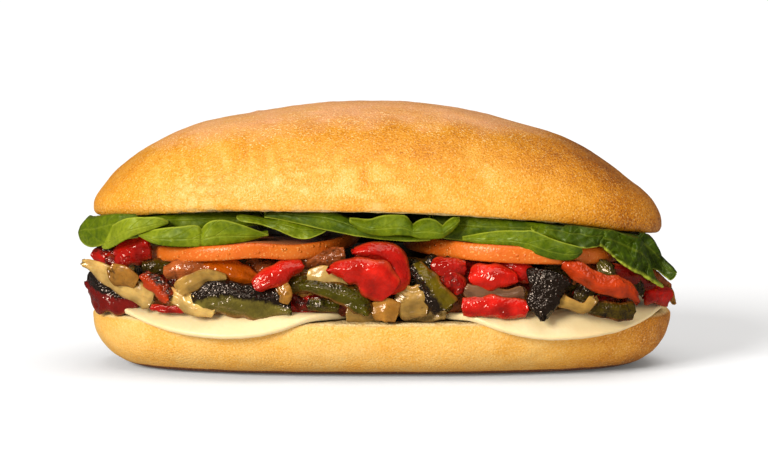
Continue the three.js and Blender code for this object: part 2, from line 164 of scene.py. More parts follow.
def plug(tree, socket, value):
    """Links a socket into an input, or sets the input's own value."""
    if hasattr(value, "links"):
        tree.links.new(value, socket)
    elif isinstance(value, tuple):
        socket.default_value = (*value, 1)
    else:
        socket.default_value = value


def ramp(tree, source, stops):
    made = tree.nodes.new("ShaderNodeValToRGB")
    points = made.color_ramp.elements
    while len(points) < len(stops):
        points.new(0.5)
    for point, (place, colour) in zip(points, stops):
        point.position = place
        point.color = (*colour, 1) if isinstance(colour, tuple) else (colour, colour, colour, 1)
    tree.links.new(source, made.inputs["Fac"])
    return made.outputs["Color"]


# A Mix node has sockets for numbers and vectors too, and its colours come after them.
MIX_FIRST_COLOUR = 6
MIX_SECOND_COLOUR = 7
MIX_COLOUR_OUT = 2


def mix(tree, share, first, second, blend="MIX"):
    made = tree.nodes.new("ShaderNodeMix")
    made.data_type = "RGBA"
    made.blend_type = blend
    plug(tree, made.inputs["Factor"], share)
    plug(tree, made.inputs[MIX_FIRST_COLOUR], first)
    plug(tree, made.inputs[MIX_SECOND_COLOUR], second)
    return made.outputs[MIX_COLOUR_OUT]


def maths(tree, operation, first, second=0.0, clamp=False):
    made = tree.nodes.new("ShaderNodeMath")
    made.operation = operation
    made.use_clamp = clamp
    plug(tree, made.inputs[0], first)
    plug(tree, made.inputs[1], second)
    return made.outputs[0]


def plus(tree, first, second):
    return maths(tree, "ADD", first, second)


def times(tree, first, second):
    return maths(tree, "MULTIPLY", first, second)


def swing(tree, value, share):
    """Makes a noise swing round zero, by a share."""
    return times(tree, maths(tree, "SUBTRACT", value, 0.5), share)


def noise_at(tree, place, scale, detail=4.0, roughness=0.55):
    made = tree.nodes.new("ShaderNodeTexNoise")
    made.inputs["Scale"].default_value = scale
    made.inputs["Detail"].default_value = detail
    made.inputs["Roughness"].default_value = roughness
    tree.links.new(place, made.inputs["Vector"])
    return made.outputs["Fac"]


def attribute(tree, name, output="Fac"):
    made = tree.nodes.new("ShaderNodeAttribute")
    made.attribute_name = name
    return made.outputs[output]


def bump(tree, shader, height, distance, strength=1.0):
    made = tree.nodes.new("ShaderNodeBump")
    made.inputs["Distance"].default_value = distance
    made.inputs["Strength"].default_value = strength
    tree.links.new(height, made.inputs["Height"])
    tree.links.new(made.outputs["Normal"], shader.inputs["Normal"])


print("material helpers: finish, plug, ramp, mix, maths, noise, attribute and bump")

# %% [markdown]
# Specks come back in more than one finish: grains of flour on the crust and painted
# glints of juice on the tomato. So they are one node group, a noise cut off at a level,
# and each material sets its own scale and level.

# %% The shared specks
SPECK_DETAIL = 3.0
SPECK_SHARPNESS = 14.0


def make_specks():
    group = bpy.data.node_groups.new("Specks", "ShaderNodeTree")
    sides = group.interface
    sides.new_socket("Vector", in_out="INPUT", socket_type="NodeSocketVector")
    sides.new_socket("Scale", in_out="INPUT", socket_type="NodeSocketFloat")
    sides.new_socket("Level", in_out="INPUT", socket_type="NodeSocketFloat")
    sides.new_socket("Mask", in_out="OUTPUT", socket_type="NodeSocketFloat")
    start = group.nodes.new("NodeGroupInput")
    end = group.nodes.new("NodeGroupOutput")
    spots = group.nodes.new("ShaderNodeTexNoise")
    spots.inputs["Detail"].default_value = SPECK_DETAIL
    group.links.new(start.outputs["Vector"], spots.inputs["Vector"])
    group.links.new(start.outputs["Scale"], spots.inputs["Scale"])
    over = maths(group, "SUBTRACT", spots.outputs["Fac"], start.outputs["Level"])
    group.links.new(maths(group, "MULTIPLY", over, SPECK_SHARPNESS, clamp=True), end.inputs["Mask"])
    return group


SPECKS = make_specks()


def specks(tree, place, scale, level):
    made = tree.nodes.new("ShaderNodeGroup")
    made.node_tree = SPECKS
    made.inputs["Scale"].default_value = scale
    made.inputs["Level"].default_value = level
    tree.links.new(place, made.inputs["Vector"])
    return made.outputs["Mask"]


print("speck group:", len(SPECKS.nodes), "nodes")

# %% [markdown]
# The crust of a soft roll is golden. It is paler low on the side, where the skin
# creased as it rose, and the paleness along the creases is partly a painted highlight.
# It is browner at the hot end of the oven, and the foot of the lower half is painted
# dark as shade and as a contact shadow. A painted image could hold this, but it would
# stretch at the ends. So a mesh attribute holds how brown each place is, with that painted
# shade and highlight, and a ramp turns that into colour. A second one called crumb marks
# the pale cut face, and a third one says how dusty the skin is and where a pinkish painted
# sheen lies along the top of the dome.
#
# Light that the crust throws on the floor would tint it orange, which the white floor
# of the studio doesn't show, so diffuse rays see a greyer crust.

# %% Crust and crumb finish
CRUST_STOPS = [
    (0.0, (0.84, 0.5, 0.13)),
    (0.3, (0.8, 0.38, 0.045)),
    (0.55, (0.7, 0.26, 0.009)),
    (0.78, (0.47, 0.14, 0.002)),
    (1.0, (0.2, 0.04, 0.001)),
]
CRUMB_PALE = (0.85, 0.61, 0.27)
CRUMB_DEEP = (0.66, 0.39, 0.11)
FLOUR = (0.98, 0.68, 0.28)
CRUST_TOP_SHEEN = (0.92, 0.46, 0.24)
CRUST_BOUNCE = (0.26, 0.22, 0.18)
CRUST_GLOSS = 0.32
CRUST_ROUGHNESS = 0.24
CRUMB_ROUGHER = 0.4
PATCH_ROUGHER = 0.3
# Each noise is its scale, its detail and how rough that detail is.
GRAIN = (1900.0, 1.0, 0.6)
GRAIN_SHARE = 0.7
PATCHES = (130.0, 5.0, 0.65)
PATCH_SHARE = 0.32
BLOTS = (420.0, 2.0, 0.6)
BLOT_SHARE = 0.2
PORES = (700.0, 5.0, 0.6)
PORE_DEPTH = 3.0
FLOUR_GRAINS = (2100.0, 0.58)
FLOUR_SHARE = 0.8
CRUST_BUMP = 0.28 * MM


def crust_finish():
    material, tree, shader, place = new_finish("crust", CRUST_ROUGHNESS)
    shader.inputs["Specular IOR Level"].default_value = CRUST_GLOSS
    grain = noise_at(tree, place, *GRAIN)
    patches = noise_at(tree, place, *PATCHES)
    blots = noise_at(tree, place, *BLOTS)
    bake_shade_and_highlight = attribute(tree, "bake_shade_and_highlight")
    for layer, share in ((patches, PATCH_SHARE), (blots, BLOT_SHARE), (grain, GRAIN_SHARE)):
        bake_shade_and_highlight = plus(tree, bake_shade_and_highlight, swing(tree, layer, share))
    base = ramp(tree, bake_shade_and_highlight, CRUST_STOPS)
    flour_and_sheen = attribute(tree, "flour_and_sheen")
    grains = specks(tree, place, *FLOUR_GRAINS)
    powder = maths(tree, "MULTIPLY", grains, times(tree, flour_and_sheen, FLOUR_SHARE), clamp=True)
    base = mix(tree, powder, base, FLOUR)
    # Painted sheen: where the value passes 1, a pinkish colour lies along the top of the dome.
    dust_and_top_sheen = times(tree, maths(tree, "SUBTRACT", flour_and_sheen, 1.0, clamp=True), patches)
    base = mix(tree, dust_and_top_sheen, base, CRUST_TOP_SHEEN)
    pores = noise_at(tree, place, *PORES)
    crumb = ramp(tree, pores, [(0.35, CRUMB_DEEP), (0.55, CRUMB_PALE)])
    where = attribute(tree, "crumb")
    base = mix(tree, where, base, crumb)
    path = tree.nodes.new("ShaderNodeLightPath")
    seen = mix(tree, path.outputs["Is Diffuse Ray"], base, CRUST_BOUNCE)
    tree.links.new(seen, shader.inputs["Base Color"])
    dull = plus(tree, times(tree, where, CRUMB_ROUGHER), times(tree, patches, PATCH_ROUGHER))
    tree.links.new(plus(tree, dull, CRUST_ROUGHNESS), shader.inputs["Roughness"])
    height = plus(tree, grain, times(tree, times(tree, pores, where), PORE_DEPTH))
    bump(tree, shader, height, CRUST_BUMP, 0.9)
    return material


CRUST = crust_finish()
print("crust finish:", len(CRUST.node_tree.nodes), "nodes")

# %% [markdown]
# The upper half of the roll is a long dome. A ball whose rows are moved onto the dome,
# the tucked edge and the arched cut face gives one closed skin with no seams. The
# filling lifts the cut face most a little left of the middle.

# %% The shape of the upper half
CROWN_HALF_LENGTH = 76.2
CROWN_HALF_WIDTH = 38.0
CROWN_TOP = 71.1
CUT_TOP = 44.1
CUT_CREST_X = -28.0
CUT_DROP_LEFT = 4.5
CUT_DROP_RIGHT = 9.1
TUCK_HEIGHT = 2.6
TUCK_REACH = 0.968
TUCK_SHARE = 0.14
TUCK_CRUMB = (1.4, 1.56)
ROLL_SQUARENESS = 2.4
SHOULDER_X = -32.0
SHOULDER_DIP = 0.045
SHOULDER_SPREAD = 17.0


def bell(value, middle, spread):
    """1 at the middle, and falling softly to both sides."""
    return math.exp(-(((value - middle) / spread) ** 2))


def crown_cut(x):
    """Height of the cut face, which arches over the filling."""
    left = max(0.0, CUT_CREST_X - x) / (CROWN_HALF_LENGTH + CUT_CREST_X)
    right = max(0.0, x - CUT_CREST_X) / (CROWN_HALF_LENGTH - CUT_CREST_X)
    return CUT_TOP - CUT_DROP_LEFT * left**2 - CUT_DROP_RIGHT * right**2.8


def crown_skin(lift):
    """Reach, height and crumb of the skin at an angle down from its top."""
    if lift < QUARTER:
        return math.sin(lift), 1 + math.cos(lift), 0.0
    share = lift / QUARTER - 1
    if share < TUCK_SHARE:
        turn = share / TUCK_SHARE * QUARTER
        reach = TUCK_REACH + (1 - TUCK_REACH) * math.cos(turn)
        return reach, 1 - math.sin(turn), ease(*TUCK_CRUMB, turn)
    return TUCK_REACH * (1 - share) / (1 - TUCK_SHARE), 0.0, 1.0


def crown_place(lift, angle):
    reach, height, crumb = crown_skin(lift)
    side_x, side_y = oval(angle, CROWN_HALF_LENGTH, CROWN_HALF_WIDTH, ROLL_SQUARENESS)
    x = reach * side_x
    shoulder = 1 - SHOULDER_DIP * bell(x, SHOULDER_X, SHOULDER_SPREAD)
    rise = max(0.0, height - 1) * (CROWN_TOP - CUT_TOP - TUCK_HEIGHT) * shoulder
    return Vector((x, reach * side_y, crown_cut(x) + min(height, 1) * TUCK_HEIGHT + rise)), crumb


print("the cut face of the crown drops to", round(crown_cut(CROWN_HALF_LENGTH), 1), "mm at its right end")

# %% [markdown]
# One helper makes both halves. It moves the ball's points, then pushes each one along
# its normal by the relief of the skin, and writes the attributes for the finish.

# %% From a ball to a skin
SKIN_GRID = (240, 130)


def skin_ball(place_at, relief, bake_and_painted_light_at):
    bm = new_ball(SKIN_GRID)
    crumb, bake_shade_and_highlight, flour_and_sheen = new_values(bm, "crumb", "bake_shade_and_highlight", "flour_and_sheen")
    for vert in bm.verts:
        vert.co, vert[crumb] = place_at(*ball_angles(vert.co))
    bm.normal_update()
    moves = [vert.normal * relief(vert.co, vert[crumb]) for vert in bm.verts]
    for vert, move in zip(bm.verts, moves):
        vert[bake_shade_and_highlight], vert[flour_and_sheen] = bake_and_painted_light_at(vert.co)
        vert.co += move
    return bm


CRUMB_HOLES = 2.2
CRUMB_DEPTH = 0.25
CRUMB_INSET = 0.1


def crumb_relief(co):
    return CRUMB_DEPTH * lumps(co, CRUMB_HOLES) - CRUMB_INSET


print("a skin has", SKIN_GRID[0] * SKIN_GRID[1], "faces")

# %% [markdown]
# As the dome rose in the oven, its skin was pulled into upright pale creases at the
# side. They are dents in the mesh, and the same function makes them paler, partly as
# paler stretched skin and partly as a painted highlight along each crease. A crest of
# blisters comes from the hot air above, and a pinkish painted sheen lies along the top.
# A zone is written as two places, where it begins and where it is full, so that it fades
# in either direction.

# %% Skin of the upper half
CREASE_FROM_LEFT = (-66, -46)
CREASE_LEFT_HALF = (20, -6)
CREASE_TO_RIGHT = (40, 28)
CREASE_LOW = (63, 54)
CREASE_AT_SIDES = (8, 22)
CREASE_RIGHT_SHARE = 0.35
CREASE_WIDTH = 1.3
CREASE_HEIGHT = 12
CREASE_THROUGH = 40
CREASE_LEAN = 0.3
CREASE_LEVEL = (0.1, 0.4)
CREASE_DEPTH = 0.4
CROWN_INSET = 0.4
BLISTER_SIZE = 3
BLISTER_LEVEL = 0.6
BLISTER_HEIGHT = 1.2
BLISTER_ZONE = (60, 68)
LEAN_ENDS = (44, 72)
LEAN_ABOVE_CUT = (44, 50)
LEAN_DENT_X = 36
LEAN_DENT_SPREAD = 14
HOT_END = (28, 74)
COOL_END = (-52, -74)
UPPER_SKIN = (50, 64)
LOWER_SKIN = (58, 46)
TOWARDS_RIGHT = (-60, 20)
PALE_FROM_LEFT = (-64, -40)
PALE_TO_MIDDLE = (10, -20)
SHEEN_TOP = (62, 71)
SHEEN_X = 4
CROWN_BAKE = 0.48


def creases(co):
    """Upright dents low on the front and back of the dome, most of them on the left; they are made pale,
    partly as stretched skin and partly as a painted highlight.
    """
    zone = ease(*CREASE_FROM_LEFT, co.x) * ease(*CREASE_TO_RIGHT, co.x)
    zone *= CREASE_RIGHT_SHARE + (1 - CREASE_RIGHT_SHARE) * ease(*CREASE_LEFT_HALF, co.x)
    zone *= ease(*CREASE_LOW, co.z) * ease(*CREASE_AT_SIDES, abs(co.y))
    along = (co.x + CREASE_LEAN * co.z) / CREASE_WIDTH
    folds = noise.noise(Vector((along, co.y / CREASE_THROUGH, co.z / CREASE_HEIGHT)))
    return zone * ease(*CREASE_LEVEL, folds)


def crown_relief(co, crumb):
    if crumb == 1:
        return crumb_relief(co)
    soft = 0.35 * lumps(co, 24) + 0.1 * lumps(co, 5)
    blister = BLISTER_HEIGHT * max(0.0, lumps(co, BLISTER_SIZE, 1) - BLISTER_LEVEL)
    lean = 0.8 * ease(*LEAN_ENDS, abs(co.x)) + 0.6 * bell(co.x, LEAN_DENT_X, LEAN_DENT_SPREAD)
    high = soft + blister * ease(*BLISTER_ZONE, co.z) - CREASE_DEPTH * creases(co)
    return high - CROWN_INSET - lean * ease(*LEAN_ABOVE_CUT, co.z)


def crown_bake_and_highlight(co):
    """How brown and how dusty the dome is at a place, with a painted highlight along the creases and a
    pinkish painted sheen on the top.
    """
    ends = 0.4 * ease(*HOT_END, co.x) + 0.1 * ease(*COOL_END, co.x)
    top = 0.1 * ease(*UPPER_SKIN, co.z) * ease(*TOWARDS_RIGHT, co.x)
    low = -0.12 * ease(*LOWER_SKIN, co.z)
    left = ease(*PALE_FROM_LEFT, co.x) * ease(*PALE_TO_MIDDLE, co.x)
    # Paler along the creases: partly stretched skin, partly a painted highlight.
    pale_and_highlight = -0.32 * creases(co) - 0.04 * left
    # Painted sheen: values above 1 lay a pinkish band along the top of the dome.
    height = co.z + 0.1 * abs(co.x - SHEEN_X) + 2 * lumps(co, 8)
    dust_and_top_sheen = 0.5 + 1.5 * ease(*SHEEN_TOP, height)
    return CROWN_BAKE + ends + top + low + pale_and_highlight + 0.1 * lumps(co, 12), dust_and_top_sheen


crown_bm = skin_ball(crown_place, crown_relief, crown_bake_and_highlight)
finish_piece("crown", crown_bm, ["bun_crown"], CRUST)

# %% [markdown]
# The lower half is a shallow boat: a flat foot, sides that swing up in a quarter of
# an ellipse, a small round at the cut and a flat cut face that carries the filling.
# Low down it is painted darker as shade, and its foot nearly black as a painted contact
# shadow where it meets the floor. There is a little flour left from the board.

# %% Lower half of the roll
HEEL_HALF_LENGTH = 77.3
HEEL_HALF_WIDTH = 37.5
HEEL_HEIGHT = 15.5
HEEL_SHIFT = 1.2
HEEL_FOOT_ALONG = 0.8
HEEL_FOOT_ACROSS = 0.52
HEEL_ROUND = 1.7
HEEL_ROUND_REACH = 0.965
HEEL_ROUND_SHARE = 0.42
HEEL_SIDE_SHARE = 0.5
HEEL_FOOT_SHARE = 0.78
HEEL_CRUMB = (1.2, 0.6)
HEEL_BAKE = 0.13
HEEL_HOT_END = (34, 72)
HEEL_COOL_END = (-60, -76)
HEEL_SHADE = (6, 2)
HEEL_CONTACT_SHADOW = (1.7, 0.9)
HEEL_FLOURED_END = (50, 76)
HEEL_FLOURED_LOW = (13, 5)
HEEL_STEADY_FOOT = (0.0, 3.0)


def heel_skin(share):
    """Reach, height, tuck towards the foot and crumb of the skin, from its top to its foot."""
    if share < HEEL_ROUND_SHARE:
        return HEEL_ROUND_REACH * share / HEEL_ROUND_SHARE, HEEL_HEIGHT, 0.0, 1.0
    if share < HEEL_SIDE_SHARE:
        turn = (share - HEEL_ROUND_SHARE) / (HEEL_SIDE_SHARE - HEEL_ROUND_SHARE) * QUARTER
        reach = HEEL_ROUND_REACH + (1 - HEEL_ROUND_REACH) * math.sin(turn)
        height = HEEL_HEIGHT - HEEL_ROUND * (1 - math.cos(turn))
        return reach, height, 0.0, ease(*HEEL_CRUMB, turn)
    if share < HEEL_FOOT_SHARE:
        turn = (share - HEEL_SIDE_SHARE) / (HEEL_FOOT_SHARE - HEEL_SIDE_SHARE) * QUARTER
        return 1.0, (HEEL_HEIGHT - HEEL_ROUND) * (1 - math.sin(turn)), 1 - math.cos(turn), 0.0
    return (1 - share) / (1 - HEEL_FOOT_SHARE), 0.0, 1.0, 0.0


def heel_place(lift, angle):
    reach, height, tuck, crumb = heel_skin(lift / math.pi)
    side_x, side_y = oval(angle, HEEL_HALF_LENGTH, HEEL_HALF_WIDTH, ROLL_SQUARENESS)
    x = HEEL_SHIFT + reach * side_x * (1 - (1 - HEEL_FOOT_ALONG) * tuck)
    return Vector((x, reach * side_y * (1 - (1 - HEEL_FOOT_ACROSS) * tuck), height)), crumb


def heel_relief(co, crumb):
    if crumb > 0.5:
        return crumb_relief(co)
    soft = 0.3 * lumps(co, 22) + 0.08 * lumps(co, 5) - 0.12
    return soft * ease(*HEEL_STEADY_FOOT, co.z)


def heel_bake_and_shade(co):
    """How brown and how floury the lower half is at a place, with painted shade low down and a painted
    contact shadow at its foot.
    """
    ends = 0.52 * ease(*HEEL_HOT_END, co.x) + 0.03 * ease(*HEEL_COOL_END, co.x)
    # Painted shade: darker low down, and nearly black at the foot as a painted contact shadow.
    painted_shade_low = 0.1 * ease(*HEEL_SHADE, co.z) + 3 * ease(*HEEL_CONTACT_SHADOW, co.z)
    flour_and_sheen = 0.5 + 0.5 * ease(*HEEL_FLOURED_END, co.x) * ease(*HEEL_FLOURED_LOW, co.z)
    return HEEL_BAKE + ends + painted_shade_low + 0.14 * lumps(co, 12), flour_and_sheen


heel_bm = skin_ball(heel_place, heel_relief, heel_bake_and_shade)
finish_piece("heel", heel_bm, ["bun_heel"], CRUST)

# %% [markdown]
# A thin slice of cheese bends where it hangs over an edge. The sum for that finds how
# far a point lies past the oval edge, wraps that much round a quarter circle, and lets
# the rest hang straight. It keeps lengths true, as a real soft slice does.

# %% Sheets that bend over an edge
Edge = namedtuple("Edge", "half_length half_width squareness radius steepest")
TINY = 1e-6


def over_edge(x, y, depth, edge):
    """Where a point of a flat sheet comes to lie, and how far down, once it bends over an edge."""
    share_x = abs(x / edge.half_length)
    share_y = abs(y / edge.half_width)
    power = edge.squareness
    size = max((share_x**power + share_y**power) ** (1 / power), TINY)
    slope_x = math.copysign((share_x / size) ** (power - 1), x) / edge.half_length
    slope_y = math.copysign((share_y / size) ** (power - 1), y) / edge.half_width
    slope = max(math.hypot(slope_x, slope_y), TINY)
    past = max(0.0, (size - 1) / slope)
    bend = min(past / edge.radius, edge.steepest)
    hang = past - bend * edge.radius
    reach = edge.radius - depth
    outward = reach * math.sin(bend) + hang * math.cos(bend) - past
    down = depth + reach * (1 - math.cos(bend)) + hang * math.sin(bend)
    return x + slope_x / slope * outward, y + slope_y / slope * outward, down


drop = over_edge(60, 0, 0, Edge(50, 50, 2, 3, QUARTER))[2]
print("a point 10 mm past a round edge hangs", round(drop, 1), "mm down")

# %% [markdown]
# The cheese is cream coloured, a little see-through at its edge, and hardly shiny. A
# plain pale paint would look like plastic. Light that scatters inside it gives the
# creamy look, so the finish has a touch of subsurface, and one broad and one fine noise
# keep the cream uneven.

# %% Cheese finish
CHEESE_DEEP = (0.84, 0.62, 0.29)
CHEESE_PALE = (0.9, 0.71, 0.39)
CHEESE_ROUGHNESS = 0.38
CHEESE_BLOOM = (1.0, 0.7, 0.35)
CHEESE_BLOOM_DEPTH = 1.5 * MM
CHEESE_CLOUDS = 60.0
CHEESE_GRAIN = 900.0
CHEESE_BUMP = 0.2 * MM


def scatter(shader, weight, radius, depth):
    """Lets light scatter a little way inside a soft food."""
    shader.inputs["Subsurface Weight"].default_value = weight
    shader.inputs["Subsurface Radius"].default_value = radius
    shader.inputs["Subsurface Scale"].default_value = depth


def cheese_finish():
    material, tree, shader, place = new_finish("cheese", CHEESE_ROUGHNESS)
    scatter(shader, 0.2, CHEESE_BLOOM, CHEESE_BLOOM_DEPTH)
    base = ramp(tree, noise_at(tree, place, CHEESE_CLOUDS), [(0.3, CHEESE_DEEP), (0.7, CHEESE_PALE)])
    fine = noise_at(tree, place, CHEESE_GRAIN)
    base = mix(tree, 0.12, base, ramp(tree, fine, [(0.3, 0.3), (0.7, 0.7)]), "OVERLAY")
    tree.links.new(base, shader.inputs["Base Color"])
    bump(tree, shader, fine, CHEESE_BUMP, 0.3)
    return material


CHEESE = cheese_finish()
print("cheese finish:", len(CHEESE.node_tree.nodes), "nodes")

# %% [markdown]
# Two round slices lie on the cut face and droop over the front of the roll. A cloth
# simulation could hang them, but where they end up is hard to steer. So each is a
# flattened ball, drawn in the flat first, round and slightly uneven, and then bent over
# the edge of the roll with the sum above.

# %% Cheese slices
CHEESE_THICKNESS = 1.9
CHEESE_GAP = 0.42
CHEESE_BEND = 2.0
CHEESE_STEEPEST = math.radians(56)
CHEESE_FACE_SHARE = 0.86
CHEESE_ROUND = 0.7
SLICE_GRID = (160, 72)
SLICE_BLUNTNESS = 0.7
# name, middle along, middle across, radius
CHEESE_SLICES = [
    ("cheese_left", -33.4, -3.4, 37.2),
    ("cheese_right", 40.2, -4.2, 35.9),
]
CHEESE_EDGE = Edge(
    HEEL_HALF_LENGTH - CHEESE_BEND,
    HEEL_HALF_WIDTH - CHEESE_BEND,
    ROLL_SQUARENESS,
    CHEESE_BEND + CHEESE_GAP + CHEESE_THICKNESS / 2,
    CHEESE_STEEPEST,
)


def slice_share(lift):
    """0 in the middle of either face of a slice, and 1 on its rim."""
    return 1 - abs(lift / QUARTER - 1)


def slice_profile(share, radius, half, face_share, edge_round):
    """Reach and half height of a slice, from its middle round its edge."""
    if share < face_share:
        return (radius - edge_round) * share / face_share, half
    turn = (share - face_share) / (1 - face_share) * QUARTER
    return radius - edge_round * (1 - math.sin(turn)), half * keep_sign(math.cos(turn), SLICE_BLUNTNESS)


def cheese_slice(name, middle_x, middle_y, radius):
    half = CHEESE_THICKNESS / 2
    bm = new_ball(SLICE_GRID)
    for vert in bm.verts:
        lift, angle = ball_angles(vert.co)
        reach, height = slice_profile(slice_share(lift), radius, half, CHEESE_FACE_SHARE, CHEESE_ROUND)
        uneven = 1 + 0.004 * math.sin(3 * angle + middle_x) + 0.003 * math.sin(7 * angle)
        flat_x = middle_x + reach * uneven * math.cos(angle) - HEEL_SHIFT
        flat_y = middle_y + reach * uneven * math.sin(angle)
        wave = 0.15 * lumps(Vector((flat_x, flat_y, 0)), 12)
        x, y, down = over_edge(flat_x, flat_y, -math.copysign(height, vert.co.z), CHEESE_EDGE)
        vert.co = Vector((HEEL_SHIFT + x, y, HEEL_HEIGHT + CHEESE_GAP + half - down + wave))
    finish_piece(name, bm, [name], CHEESE)


for slice_values in CHEESE_SLICES:
    cheese_slice(*slice_values)

# %% [markdown]
# A tomato slice shows its skin as a glossy band round the rim, wet with beads of
# juice. Its faces show pale walls that run from the core to the skin with redder seed
# pockets between them. Separate meshes for skin, walls and beads would have to fit each
# other exactly. So one mesh carries attributes called flesh, wall and edge, and the
# beads are a Voronoi texture that lifts the surface and makes it smoother.

# %% Tomato finish
WARM_GLOSS = (1.0, 0.78, 0.62, 1.0)
TOMATO_SKIN = (0.6, 0.098, 0.005)
TOMATO_SKIN_PALE = (0.7, 0.165, 0.014)
TOMATO_EDGE = (0.5, 0.03, 0.004)
TOMATO_GLINT = (0.9, 0.5, 0.14)
TOMATO_FLESH = (0.46, 0.05, 0.012)
TOMATO_WALL = (0.62, 0.18, 0.06)
TOMATO_ROUGHNESS = 0.3
TOMATO_WETTER = 0.2
TOMATO_CLOUDS = 60.0
TOMATO_GRAIN = (1400.0, 1.0)
TOMATO_GLITTER = (1700.0, 0.6)
TOMATO_BUMP = 0.35 * MM
BEADS = 620.0
BEAD_STEEPNESS = 3.6
BEAD_GROUPS = (300.0, 1.0)


def tomato_finish():
    material, tree, shader, place = new_finish("tomato", TOMATO_ROUGHNESS)
    shader.inputs["Specular Tint"].default_value = WARM_GLOSS
    broad = noise_at(tree, place, TOMATO_CLOUDS)
    skin = ramp(tree, broad, [(0.35, TOMATO_SKIN), (0.65, TOMATO_SKIN_PALE)])
    pocket = plus(tree, attribute(tree, "wall"), times(tree, broad, 0.5))
    flesh = ramp(tree, pocket, [(0.35, TOMATO_FLESH), (0.8, TOMATO_WALL)])
    skin = mix(tree, times(tree, attribute(tree, "edge"), 0.6), skin, TOMATO_EDGE)
    base = mix(tree, attribute(tree, "flesh"), skin, flesh)
    drops = tree.nodes.new("ShaderNodeTexVoronoi")
    drops.inputs["Scale"].default_value = BEADS
    tree.links.new(place, drops.inputs["Vector"])
    slope = times(tree, drops.outputs["Distance"], BEAD_STEEPNESS)
    drop = maths(tree, "POWER", maths(tree, "SUBTRACT", 1.0, slope, clamp=True), 0.5)
    drop = times(tree, drop, ramp(tree, noise_at(tree, place, *BEAD_GROUPS), [(0.48, 0.0), (0.56, 1.0)]))
    # Painted glints: pale orange specks in the colour stand for highlights on wet juice.
    glitter = specks(tree, place, *TOMATO_GLITTER)
    base = mix(tree, times(tree, glitter, 0.45), base, TOMATO_GLINT)
    tree.links.new(base, shader.inputs["Base Color"])
    wet = maths(tree, "SUBTRACT", TOMATO_ROUGHNESS, times(tree, drop, TOMATO_WETTER))
    tree.links.new(wet, shader.inputs["Roughness"])
    fine = noise_at(tree, place, *TOMATO_GRAIN)
    bump(tree, shader, plus(tree, times(tree, fine, 0.35), drop), TOMATO_BUMP)
    return material


TOMATO = tomato_finish()
print("tomato finish:", len(TOMATO.node_tree.nodes), "nodes")

# %% [markdown]
# Two thick slices lie on the filling, tilted, because the roll closes on them. They are
# flattened balls like the cheese, with a rounder rim. The face sinks a little in the
# seed pockets, and the left slice sags between its middle and its raised end.

# %% Tomato slices
# name, middle along, middle across, height, radius, thickness, tilt in degrees, sag
TOMATO_SLICES = [
    ("tomato_left", -33.4, -9.0, 32.3, 29.5, 4.0, 5.0, 1.9),
    ("tomato_right", 36.6, -9.0, 31.0, 29.5, 4.6, -2.6, 0.0),
]
TOMATO_ROUND = 1.1
TOMATO_FACE_SHARE = 0.72
TOMATO_RIM_SHARE = (0.86, 0.76)
TOMATO_CORE_SHARE = 0.2
TOMATO_POCKETS = 5
TOMATO_SAG_FROM = (0, 0.5)
TOMATO_SAG_TO = (1.15, 0.7)


def tomato_slice(name, middle_x, middle_y, base, radius, thickness, tilt, sag):
    """A tilted slice; sag is how far it sinks between its middle and its raised end."""
    half = thickness / 2
    turn = math.radians(tilt)
    bm = new_ball(SLICE_GRID)
    flesh, wall, edge = new_values(bm, "flesh", "wall", "edge")
    for vert in bm.verts:
        lift, angle = ball_angles(vert.co)
        share = slice_share(lift)
        reach, height = slice_profile(share, radius, half, TOMATO_FACE_SHARE, TOMATO_ROUND)
        vert[flesh] = ease(TOMATO_FACE_SHARE + 0.02, TOMATO_FACE_SHARE - 0.02, share)
        vert[edge] = ease(*TOMATO_RIM_SHARE, share)
        vert[wall] = 0.5 + 0.5 * math.cos(TOMATO_POCKETS * angle) if share > TOMATO_CORE_SHARE else 1.0
        height = math.copysign(height, vert.co.z) * (1 - 0.1 * vert[flesh] * (1 - vert[wall]))
        uneven = 1 + 0.008 * math.sin(5 * angle + middle_x)
        side = reach * uneven * math.cos(angle)
        x = middle_x + side * math.cos(turn) - height * math.sin(turn)
        z = base + half + side * math.sin(turn) + height * math.cos(turn)
        z -= sag * ease(*TOMATO_SAG_FROM, side / radius) * ease(*TOMATO_SAG_TO, side / radius)
        vert.co = Vector((x, middle_y + reach * uneven * math.sin(angle), z))
    finish_piece(name, bm, [name], TOMATO)


for slice_values in TOMATO_SLICES:
    tomato_slice(*slice_values)

# %% [markdown]
# Spinach leaves are thin and glossy, yellow green where light falls through them,
# with a paler midrib and a pale rim, which is partly the leaf's paler edge and partly a
# painted highlight along it. A texture in space would cut straight through a folded leaf.
# So a UV map runs along and across each leaf, and the veins follow it wherever it bends.
# An attribute gives each leaf its own ripeness, and the two leaves deep in the filling a
# very dark green that is painted shade. Another gives its pale rim.

# %% Spinach finish
LEAF_STOPS = [
    (0.0, (0.012, 0.024, 0.0008)),
    (0.35, (0.05, 0.085, 0.0008)),
    (0.6, (0.12, 0.16, 0.001)),
    (1.0, (0.27, 0.31, 0.012)),
]
VEIN = (0.36, 0.4, 0.03)
GREEN_GLOSS = (0.9, 1.0, 0.5, 1.0)
LEAF_ROUGHNESS = 0.4
LEAF_GLOSS = 0.3
LEAF_BUMP = 0.6 * MM
LEAF_CLOUDS = 150.0
LEAF_GRAIN = (1100.0, 3.0)
LEAF_QUILT = (170.0, 1.0)
LEAF_SHEEN = 200.0
MIDRIB_AT = 0.45
SIDE_VEINS = 7.0
SIDE_VEIN_SLANT = 0.4


